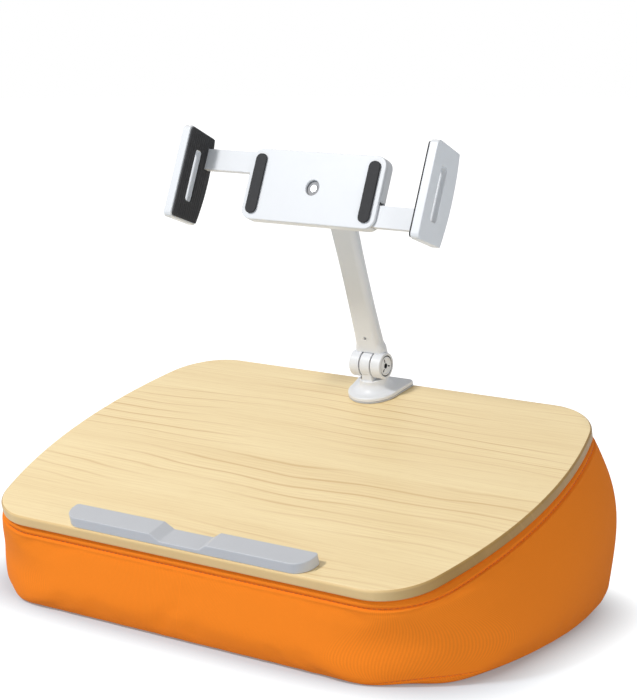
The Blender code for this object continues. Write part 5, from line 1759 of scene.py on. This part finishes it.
def make_arm(settings):
    far = HINGE_HALF_LENGTH + CUT_OVERRUN
    reach = HINGE_RADIUS + 2 * CUT_OVERRUN
    for name, side, node in (
        ("arm_front_half", -1, "arm_front_shell"), ("arm_rear_half", 1, "arm_rear_shell"),
    ):
        bar = skin([
            [
                (across, deep + ARM_SETBACK, along)
                for across, deep in centred_rectangle(width, depth, ARM_EDGE_ROUND)
            ]
            for along, width, depth in arm_levels()
        ])
        barrels = [
            disc(HINGE_RADIUS, -HINGE_HALF_LENGTH, HINGE_HALF_LENGTH, "X", settings.edge_round, (0.0, end))
            for end in (0.0, ARM_LENGTH)
        ]
        low, high = sorted((ARM_SETBACK + side * SEAT_GAP / 2, -side * reach))
        other_half = box((-far, low, -reach), (far, high, ARM_LENGTH + reach))
        shape = cut(cut(joined(bar, *barrels), other_half), *arm_tools())
        dress(name, shape, ARM_FRAME, "plastic", node)


def make_arm_screws():
    head_face = arm_screw_seat() - SEAT_GAP - ARM_SCREW_HEAD_HEIGHT
    length = ARM_SETBACK + ARM_SCREW_BITE - arm_screw_seat() + SEAT_GAP
    make_screws(
        "arm_screws", [(0.0, -along, head_face) for along in arm_screw_places()],
        (ARM_SCREW_HEAD, ARM_SCREW_HEAD_HEIGHT, ARM_SCREW_SHANK, length),
        ARM_FRAME @ HEADS_FORWARD, "blackened_and_shade", "arm_screw_lower", "arm_screw_upper",
    )


# Head

def make_head(settings):
    edge = settings.edge_round
    flange_start = -HEAD_REACH - SWIVEL_FLANGE
    flange = disc(HUB_RADIUS, flange_start, -HEAD_REACH, "Y", edge)
    upright = keyhole((0.0, 0.0), -HEAD_REACH - SWIVEL_FLANGE / 2, HINGE_RADIUS - CUT_OVERRUN)
    lying = [(along, -across) for across, along in upright]
    knuckle = prism(lying, -KNUCKLE_HALF_WIDTH, KNUCKLE_HALF_WIDTH, "X")
    soften(knuckle, edge / 2, lambda middle: middle.y > -HEAD_REACH)
    shape = cut(joined(flange, knuckle), knuckle_bore())
    tip = swivel_bolt_head() + SWIVEL_BOLT_HEAD_HEIGHT + SWIVEL_BOLT_LENGTH - HEAD_HINGE_PLACE + SEAT_GAP
    shape = cut(shape, rod(BOLT_RADIUS + BORE_GAP, flange_start - CUT_OVERRUN, tip, "Y"))
    dress("head_knuckle", shape, HEAD_FRAME, "plastic", "swivel_head")
    washer_end = SWIVEL_WASHER_START + SWIVEL_WASHER
    washer = washer_shape(HUB_RADIUS, SWIVEL_WASHER_START, washer_end, SWIVEL_WASHER / 4, "Y")
    dress("swivel_friction_washer", washer, HOLDER_FRAME, "nylon", "swivel_washer")
    make_screws(
        "swivel_screw", [(0.0, 0.0, swivel_bolt_head())],
        (SWIVEL_BOLT_HEAD, SWIVEL_BOLT_HEAD_HEIGHT, BOLT_RADIUS, SWIVEL_BOLT_LENGTH),
        HOLDER_FRAME @ HEADS_FORWARD, "steel", "swivel_bolt",
    )


def swivel_bolt_head():
    """Front face of the swivel bolt's head, just behind the front cover's face."""
    return RAIL_START - SEAT_GAP - SWIVEL_BOLT_HEAD_HEIGHT


# Holder

def cover_screw_centres():
    places = (COVER_SCREW_SPREAD, HOLDER_WIDTH / 2 - COVER_SCREW_SETBACK)
    return [(side * across, 0.0) for across in places for side in (-1, 1)]


def cover_bosses(low, high):
    """The posts round the cover screws, in one shape."""
    return merged([
        rod(COVER_BOSS, low, high, "Y", centre, SCREW_HOLE_SIDES) for centre in cover_screw_centres()
    ])


def make_front_cover(outline, edge):
    front = prism(outline, FRONT_COVER_START, FRONT_COVER_END, "Y")
    half_way = FRONT_COVER_START + FRONT_COVER_THICKNESS / 2
    soften(front, edge, lambda middle: middle.y < half_way)
    soften(front, edge / 4, lambda middle: middle.y > half_way)
    window = [
        (SWIVEL_BOLT_WINDOW + edge / 2 + CUT_OVERRUN, FRONT_COVER_START - CUT_OVERRUN),
        (SWIVEL_BOLT_WINDOW, FRONT_COVER_START + edge / 2),
        (SWIVEL_BOLT_WINDOW, FRONT_COVER_END + CUT_OVERRUN),
    ]
    front = cut(front, turned(window, "Y"))
    bosses = cover_bosses(FRONT_COVER_END - SEAT_GAP, RAIL_MIDDLE - SEAT_GAP)
    dress("holder_front", joined(front, bosses), HOLDER_FRAME, "plastic", "holder_front_cover")


def make_rear_cover(outline, edge):
    wall_start = FRONT_COVER_END + SEAT_GAP
    rear = prism(outline, wall_start, REAR_PLATE_END, "Y")
    soften(rear, edge * 2, lambda middle: middle.y > RAIL_END)
    soften(rear, edge / 4, lambda middle: middle.y < RAIL_START)
    inside = centred_rectangle(HOLDER_WIDTH - 2 * HOLDER_WALL, HOLDER_HEIGHT - 2 * HOLDER_WALL, HOLDER_WALL)
    rear = cut(rear, prism(inside, wall_start - CUT_OVERRUN, REAR_PLATE_START, "Y"))
    windows = []
    for side_name, side in SIDES:
        left, right = sorted((side * HOLDER_WIDTH / 2, side * (HOLDER_WIDTH / 2 - 2 * HOLDER_WALL)))
        low, high = sorted((-side * (PINION_RADIUS - GEAR_MODULE), -side * (RAIL_OUTER_EDGE + RAIL_PLAY)))
        windows.append(box(
            (left - CUT_OVERRUN, wall_start - CUT_OVERRUN, low),
            (right + CUT_OVERRUN, REAR_PLATE_START, high),
        ))
    rear = cut(rear, *windows)
    bosses = cover_bosses(RAIL_MIDDLE, REAR_PLATE_START + HOLDER_WALL / 2)
    hub = [(HUB_RADIUS, REAR_PLATE_END - HOLDER_WALL / 2)]
    hub += rounded_rim(HUB_RADIUS, HUB_END, -1, edge)[::-1]
    rear = joined(rear, bosses, turned(hub, "Y"))
    radii = (COVER_SCREW_SHANK + BORE_GAP, COVER_SCREW_HEAD + BORE_GAP)
    places = (RAIL_MIDDLE - CUT_OVERRUN, REAR_PLATE_END - COVER_SCREW_RECESS, HUB_END + CUT_OVERRUN)
    holes = [
        stepped_rod(radii, places, "Y", centre, COVER_HOLE_SIDES) for centre in cover_screw_centres()
    ]
    holes.append(rod(BOLT_RADIUS + BORE_GAP, REAR_PLATE_START - CUT_OVERRUN, HUB_END + CUT_OVERRUN, "Y"))
    dress("holder_rear", cut(rear, *holes), HOLDER_FRAME, "plastic", "holder_rear_cover")


def make_rest_pads(edge):
    middle = HOLDER_WIDTH / 2 - REST_PAD_INSET - REST_PAD_WIDTH / 2
    half_height = HOLDER_HEIGHT / 2 - REST_PAD_INSET
    for side_name, side in SIDES:
        outline = rounded_rectangle(
            (side * middle - REST_PAD_WIDTH / 2, -half_height),
            (side * middle + REST_PAD_WIDTH / 2, half_height),
            (REST_PAD_INSET,) * 4,
        )
        shape = prism(outline, 0.0, REST_PAD_THICKNESS, "Y")
        soften(shape, edge / 2, lambda place: place.y < CUT_OVERRUN / 2)
        dress(f"back_rest_{side_name}", shape, HOLDER_FRAME, "rubber", f"rest_pad_{side_name}")


def make_holder(settings):
    outline = centred_rectangle(HOLDER_WIDTH, HOLDER_HEIGHT, HOLDER_CORNER)
    make_front_cover(outline, settings.edge_round)
    make_rear_cover(outline, settings.edge_round)
    make_rest_pads(settings.edge_round)
    carried_over("pinion", "nylon")


def make_cover_screws():
    head_face = REAR_PLATE_END - COVER_SCREW_RECESS + SEAT_GAP + COVER_SCREW_HEAD_HEIGHT
    length = head_face - COVER_SCREW_HEAD_HEIGHT - FRONT_COVER_START - HOLDER_WALL / 2
    make_screws(
        "cover_screws", [(across, up, -head_face) for across, up in cover_screw_centres()],
        (COVER_SCREW_HEAD, COVER_SCREW_HEAD_HEIGHT, COVER_SCREW_SHANK, length),
        HOLDER_FRAME @ HEADS_BACK, "steel",
        *(f"cover_screw_{place}_{side}" for place in ("inner", "outer") for side, sign in SIDES),
    )


# Jaws

def rack_edge(first, last):
    """Points along a rack's toothed edge at the side of the pinion, from first to last."""
    pitch = math.pi * GEAR_MODULE
    half_width = (pitch / 2 - TOOTH_BACKLASH) / 2
    tip = PINION_RADIUS - GEAR_MODULE * TOOTH_ADDENDUM_SHARE
    half_root = half_width * TOOTH_ROOT_SHARE
    half_tip = half_width * TOOTH_TIP_SHARE
    points = []
    number = math.ceil((first + half_root) / pitch - 1 / 2)
    while (number + 1 / 2) * pitch + half_root < last:
        middle = (number + 1 / 2) * pitch
        points += [
            (middle - half_root, RAIL_INNER_EDGE),
            (middle - half_tip, tip),
            (middle + half_tip, tip),
            (middle + half_root, RAIL_INNER_EDGE),
        ]
        number += 1
    return points


def rail_outline():
    """The right jaw's rail, above the pinion, from its free end into the jaw."""
    outer_end = JAW_INNER + JAW_THICKNESS / 2
    rack_start = max(-RAIL_REACH, -JAW_OPENING - RACK_RUN_OUT)
    points = [(-RAIL_REACH, RAIL_INNER_EDGE)] + rack_edge(rack_start, JAW_CLOSING + RACK_RUN_OUT)
    points += [(outer_end, RAIL_INNER_EDGE), (outer_end, RAIL_OUTER_EDGE)]
    free_corner = (RAIL_CORNER - RAIL_REACH, RAIL_OUTER_EDGE - RAIL_CORNER)
    return points + arc(free_corner, RAIL_CORNER, math.pi / 2, math.pi, CORNER_STEPS)


def jaw_side_outline(margin=0.0):
    """A jaw seen from the side: straight front edge, bowed rear edge."""
    front = -JAW_FRONT_REACH + margin
    rear = JAW_REAR_REACH - margin
    half_front = JAW_HEIGHT / 2 - margin
    half_rear = half_front - JAW_REAR_TAPER
    corner = JAW_CORNER - margin
    points = arc((front + corner, corner - half_front), corner, math.pi, math.pi * 3 / 2, CORNER_STEPS)
    for step in range(BOW_STEPS + 1):
        height = half_rear * (2 * step / BOW_STEPS - 1)
        bow = JAW_REAR_BOW * (1 - (height / half_rear) ** 2)
        points.append((rear + bow, height))
    return points + arc((front + corner, half_front - corner), corner, math.pi / 2, math.pi, CORNER_STEPS)


def slot_outline(margin=0.0):
    middle = -JAW_FRONT_REACH + JAW_SLOT_PLACE
    half_width = JAW_SLOT_WIDTH / 2 + margin
    half_length = JAW_SLOT_LENGTH / 2 + margin
    return rounded_rectangle(
        (middle - half_width, -half_length), (middle + half_width, half_length),
        (half_width * JAW_SLOT_ROUND_SHARE,) * 4,
    )


def slot_cutter(low, high, edge):
    """The slot with its edges rounded at both faces of the jaw."""
    rim = [
        (edge * math.sin(turn), edge * (1 - math.sin(turn)))
        for turn in turns(0.0, math.pi / 2, EDGE_STEPS)
    ]
    stations = [(low - CUT_OVERRUN, edge)]
    stations += [(low + deep, margin) for deep, margin in rim]
    stations += [(high - deep, margin) for deep, margin in reversed(rim)]
    stations.append((high + CUT_OVERRUN, edge))
    return skin([
        [turn_to("X", first, second, along) for first, second in slot_outline(margin)]
        for along, margin in stations
    ])


def pad_ribs(side, pitch):
    """Middle and length of each rib on a jaw's pad. Ribs stop short of the slot and of
    the rail."""
    slot_middle = JAW_SLOT_PLACE - JAW_FRONT_REACH
    half_height = JAW_HEIGHT / 2 - JAW_PAD_MARGIN - PAD_RIB_MARGIN
    gaps = (
        (slot_middle - JAW_SLOT_WIDTH / 2, slot_middle + JAW_SLOT_WIDTH / 2,
         -JAW_SLOT_LENGTH / 2, JAW_SLOT_LENGTH / 2),
        (RAIL_START, RAIL_END, *sorted((-side * RAIL_INNER_EDGE, -side * RAIL_OUTER_EDGE))),
    )
    ribs = []
    first = PAD_RIB_MARGIN + JAW_PAD_MARGIN - JAW_FRONT_REACH
    count = int((JAW_REAR_REACH - PAD_RIB_MARGIN - first) / pitch)
    for number in range(count + 1):
        along = first + number * pitch
        half = half_height - (JAW_CORNER if number == 0 else 0.0)
        pieces = [(-half, half)]
        for start, end, low, high in gaps:
            if start - PAD_RIB_MARGIN / 2 < along < end + PAD_RIB_MARGIN / 2:
                pieces = [(-half, low - PAD_RIB_MARGIN / 2), (high + PAD_RIB_MARGIN / 2, half)]
        ribs += [
            ((side * JAW_GRIP / 2, along, (low + high) / 2), high - low)
            for low, high in pieces if high - low > pitch
        ]
    return ribs


def ribbed(name, ribs, pitch, look):
    """Low round ribs along Z of the holder's frame."""
    pattern = Pattern("pad_ribs")
    height = pattern.size("Height", PAD_RIB_HEIGHT)
    width = pattern.size("Width", pitch * RIB_WIDTH_SHARE)
    bar = pattern.node("GeometryNodeMeshCylinder", None, {
        "Vertices": RIB_SIDES, "Radius": 1.0, "Depth": 1.0,
    })
    length = pattern.node("GeometryNodeInputNamedAttribute", {"data_type": "FLOAT"}, {"Name": "length"})
    copies = pattern.copies(pattern.points, bar, Scale=pattern.vector(height, width * 0.5, length))
    points = bare_points(name, [place for place, reach in ribs])
    reaches = points.data.attributes.new("length", "FLOAT", "POINT")
    reaches.data.foreach_set("value", [reach for place, reach in ribs])
    piece = pattern.apply(points, copies, look)
    piece.data.transform(HOLDER_FRAME)
    crease(piece)
    return piece


def make_jaws(settings):
    edge = settings.edge_round
    for side_name, side in SIDES:
        name = "jaw_" + side_name
        low, high = sorted((side * JAW_INNER, side * (JAW_INNER + JAW_THICKNESS)))
        plate = soften(prism(jaw_side_outline(), low, high, "X"), edge)
        outline = [(side * across, -side * up) for across, up in rail_outline()]
        rail = prism(outline, RAIL_START, RAIL_END, "Y")
        shape = cut(joined(plate, rail), slot_cutter(low, high, edge * SLOT_EDGE_SHARE))
        dress(name + "_body", shape, HOLDER_FRAME, "plastic", name)
        low, high = sorted((side * JAW_GRIP / 2, side * (JAW_GRIP / 2 + JAW_PAD_THICKNESS)))
        window_low, window_high = sorted((
            -side * (RAIL_INNER_EDGE - SEAT_GAP), -side * (RAIL_OUTER_EDGE + SEAT_GAP),
        ))
        pad = cut(
            soften(prism(jaw_side_outline(JAW_PAD_MARGIN), low, high, "X"), edge / 2),
            prism(slot_outline(), low - CUT_OVERRUN, high + CUT_OVERRUN, "X"),
            box(
                (low - CUT_OVERRUN, RAIL_START - SEAT_GAP, window_low),
                (high + CUT_OVERRUN, RAIL_END + SEAT_GAP, window_high),
            ),
        )
        dress(name + "_grip_pad", pad, HOLDER_FRAME, "rubber", name + "_pad")
        ribs = ribbed(name + "_pad_ribs", pad_ribs(side, settings.rib_pitch), settings.rib_pitch, "rubber")
        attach(ribs, name)


# Stage

def add_lamp(name, power, width, place):
    lamp = bpy.data.lights.new(name, "AREA")
    lamp.energy = power
    lamp.shape = "DISK"
    lamp.size = width
    holder = placed_object(name + "_light", lamp)
    holder.location = place
    aim = Vector(LIGHT_AIM) - Vector(place)
    holder.rotation_euler = aim.to_track_quat("-Z", "Y").to_euler()


def add_camera(settings):
    camera = bpy.data.cameras.new("camera")
    camera.lens = settings.lens
    camera.sensor_width = SENSOR_WIDTH
    camera.clip_start = 0.05
    camera.clip_end = 50.0
    viewer = placed_object("camera", camera)
    viewer.location = settings.camera_place
    viewer.rotation_euler = (math.pi / 2 - settings.camera_elevation, 0.0, settings.camera_azimuth)
    bpy.context.scene.camera = viewer


def make_stage(settings):
    """A white floor that keeps the shadow, a white surround, soft lights and the camera."""
    scene = bpy.context.scene
    scene.view_settings.view_transform = "Standard"
    maker = bmesh.new()
    bmesh.ops.create_circle(maker, cap_ends=True, segments=FLOOR_SIDES, radius=FLOOR_RADIUS)
    floor = loose_object("floor", maker)
    floor.data.transform(Matrix.Translation((0.0, 0.0, -SEAT_GAP)))
    floor.data.materials.append(floor_material())
    scene.world = bpy.data.worlds.new("surround")
    light_world(scene.world, settings.world_strength)
    for name, share, width, place in LAMPS:
        add_lamp(name, settings.key_power * share, width, place)
    add_camera(settings)


def floor_material():
    """Pale floor that shows the shadow softly, and is plain white further out."""
    material = bpy.data.materials.new("pale_floor")
    material.use_nodes = True
    graph = Graph(material.node_tree)
    graph.nodes.clear()
    across, along, up = graph.split(graph.node("ShaderNodeTexCoord", output="Object"))
    across = (across * (1 / FOOTPRINT[0])) ** FOOTPRINT_POWER
    along = (along * (1 / FOOTPRINT[1])) ** FOOTPRINT_POWER
    distance = (across + along) ** (1 / FOOTPRINT_POWER)
    share = distance.clipped(*FLOOR_FADE) * (1 - FLOOR_GLOW_SHARE) + FLOOR_GLOW_SHARE
    both = graph.node("ShaderNodeMixShader", None, {
        0: graph.seen_directly() * share,
        1: graph.node("ShaderNodeBsdfDiffuse", None, {"Color": FLOOR_COLOUR}),
        2: graph.node("ShaderNodeEmission", None, {"Color": WHITE, "Strength": FLOOR_GLOW}),
    })
    graph.node("ShaderNodeOutputMaterial", None, {"Surface": both})
    return material


def light_world(world, strength):
    """Even pale light on the object, and white where the camera sees the surround."""
    world.use_nodes = True
    graph = Graph(world.node_tree)
    graph.nodes.clear()
    mix = graph.node("ShaderNodeMixShader", None, {
        0: graph.seen_directly(),
        1: graph.node("ShaderNodeBackground", None, {"Color": ROOM_COLOUR, "Strength": strength}),
        2: graph.node("ShaderNodeBackground", None, {"Color": WHITE, "Strength": 1.0}),
    })
    graph.node("ShaderNodeOutputWorld", None, {"Surface": mix})


# Operators and panel

class BuildFinishes(bpy.types.Operator):
    """Make the materials of all the pieces."""

    bl_idname = "cushion_stand.finishes"
    bl_label = "Finishes"

    def execute(self, context):
        make_finishes(context.scene)
        return {"FINISHED"}


class BuildBoard(bpy.types.Operator):
    """Make the wooden board."""

    bl_idname = "cushion_stand.board"
    bl_label = "Board"

    def execute(self, context):
        make_board(context.scene.stand_board)
        return {"FINISHED"}


class BuildBoardScrews(bpy.types.Operator):
    """Make the screws that hold the ledge and the foot from below."""

    bl_idname = "cushion_stand.board_screws"
    bl_label = "Board screws"

    def execute(self, context):
        make_board_screws()
        return {"FINISHED"}


class BuildTapes(bpy.types.Operator):
    """Make the hook and loop tapes between the board and the cushion."""

    bl_idname = "cushion_stand.tapes"
    bl_label = "Tapes"

    def execute(self, context):
        make_tapes()
        return {"FINISHED"}


class BuildLedge(bpy.types.Operator):
    """Make the front ledge with its cable notch."""

    bl_idname = "cushion_stand.ledge"
    bl_label = "Ledge"

    def execute(self, context):
        make_ledge(context.scene.stand_board)
        return {"FINISHED"}


class BuildCushion(bpy.types.Operator):
    """Make the cushion and the stitches of its seams."""

    bl_idname = "cushion_stand.cushion"
    bl_label = "Cushion"

    def execute(self, context):
        make_cushion(context.scene.stand_cushion)
        return {"FINISHED"}


class BuildFoot(bpy.types.Operator):
    """Make the mount foot and its gasket."""

    bl_idname = "cushion_stand.foot"
    bl_label = "Foot"

    def execute(self, context):
        make_foot(context.scene.stand_hardware)
        return {"FINISHED"}


class BuildArm(bpy.types.Operator):
    """Make the two halves of the arm and their screws."""

    bl_idname = "cushion_stand.arm"
    bl_label = "Arm"

    def execute(self, context):
        make_arm(context.scene.stand_hardware)
        make_arm_screws()
        return {"FINISHED"}


class BuildHinges(bpy.types.Operator):
    """Make the bolts and washers of both hinges."""

    bl_idname = "cushion_stand.hinges"
    bl_label = "Hinges"

    def execute(self, context):
        make_hinges()
        return {"FINISHED"}


class BuildHead(bpy.types.Operator):
    """Make the swivel head with its bolt and washer."""

    bl_idname = "cushion_stand.head"
    bl_label = "Swivel head"

    def execute(self, context):
        make_head(context.scene.stand_hardware)
        return {"FINISHED"}


class BuildHolder(bpy.types.Operator):
    """Make the holder's covers, their screws and the rests on them."""

    bl_idname = "cushion_stand.holder"
    bl_label = "Holder"

    def execute(self, context):
        make_holder(context.scene.stand_hardware)
        make_cover_screws()
        return {"FINISHED"}


class BuildJaws(bpy.types.Operator):
    """Make the two sliding jaws with their pads."""

    bl_idname = "cushion_stand.jaws"
    bl_label = "Jaws"

    def execute(self, context):
        make_jaws(context.scene.stand_hardware)
        return {"FINISHED"}


class BuildStage(bpy.types.Operator):
    """Make the floor, the lights and the camera."""

    bl_idname = "cushion_stand.stage"
    bl_label = "Stage"

    def execute(self, context):
        make_stage(context.scene.stand_stage)
        return {"FINISHED"}


OPERATORS = (
    BuildFinishes, BuildStage, BuildBoard, BuildBoardScrews, BuildTapes, BuildLedge, BuildCushion,
    BuildFoot, BuildArm, BuildHinges, BuildHead, BuildHolder, BuildJaws,
)
SETTINGS = {
    "stand_board": BoardSettings,
    "stand_cushion": CushionSettings,
    "stand_hardware": HardwareSettings,
    "stand_stage": StageSettings,
}


class StandPanel(bpy.types.Panel):
    """Lists the pieces of the stand and their settings."""

    bl_idname = "VIEW3D_PT_cushion_stand"
    bl_label = "Cushion Stand"
    bl_space_type = "VIEW_3D"
    bl_region_type = "UI"
    bl_category = "Cushion Stand"

    def draw(self, context):
        for name, group in SETTINGS.items():
            column = self.layout.column()
            for setting in group.__annotations__:
                column.prop(getattr(context.scene, name), setting)
        for operator in OPERATORS:
            self.layout.operator(operator.bl_idname)


def register():
    for group in (*SETTINGS.values(), *OPERATORS, StandPanel):
        bpy.utils.register_class(group)
    for name, group in SETTINGS.items():
        setattr(bpy.types.Scene, name, bpy.props.PointerProperty(type=group))


def unregister():
    for name in SETTINGS:
        delattr(bpy.types.Scene, name)
    for group in reversed((*SETTINGS.values(), *OPERATORS, StandPanel)):
        bpy.utils.unregister_class(group)


def main():
    register()
    for operator in OPERATORS:
        name = operator.bl_idname.split(".")[1]
        getattr(bpy.ops.cushion_stand, name)()


if __name__ == "__main__":
    main()
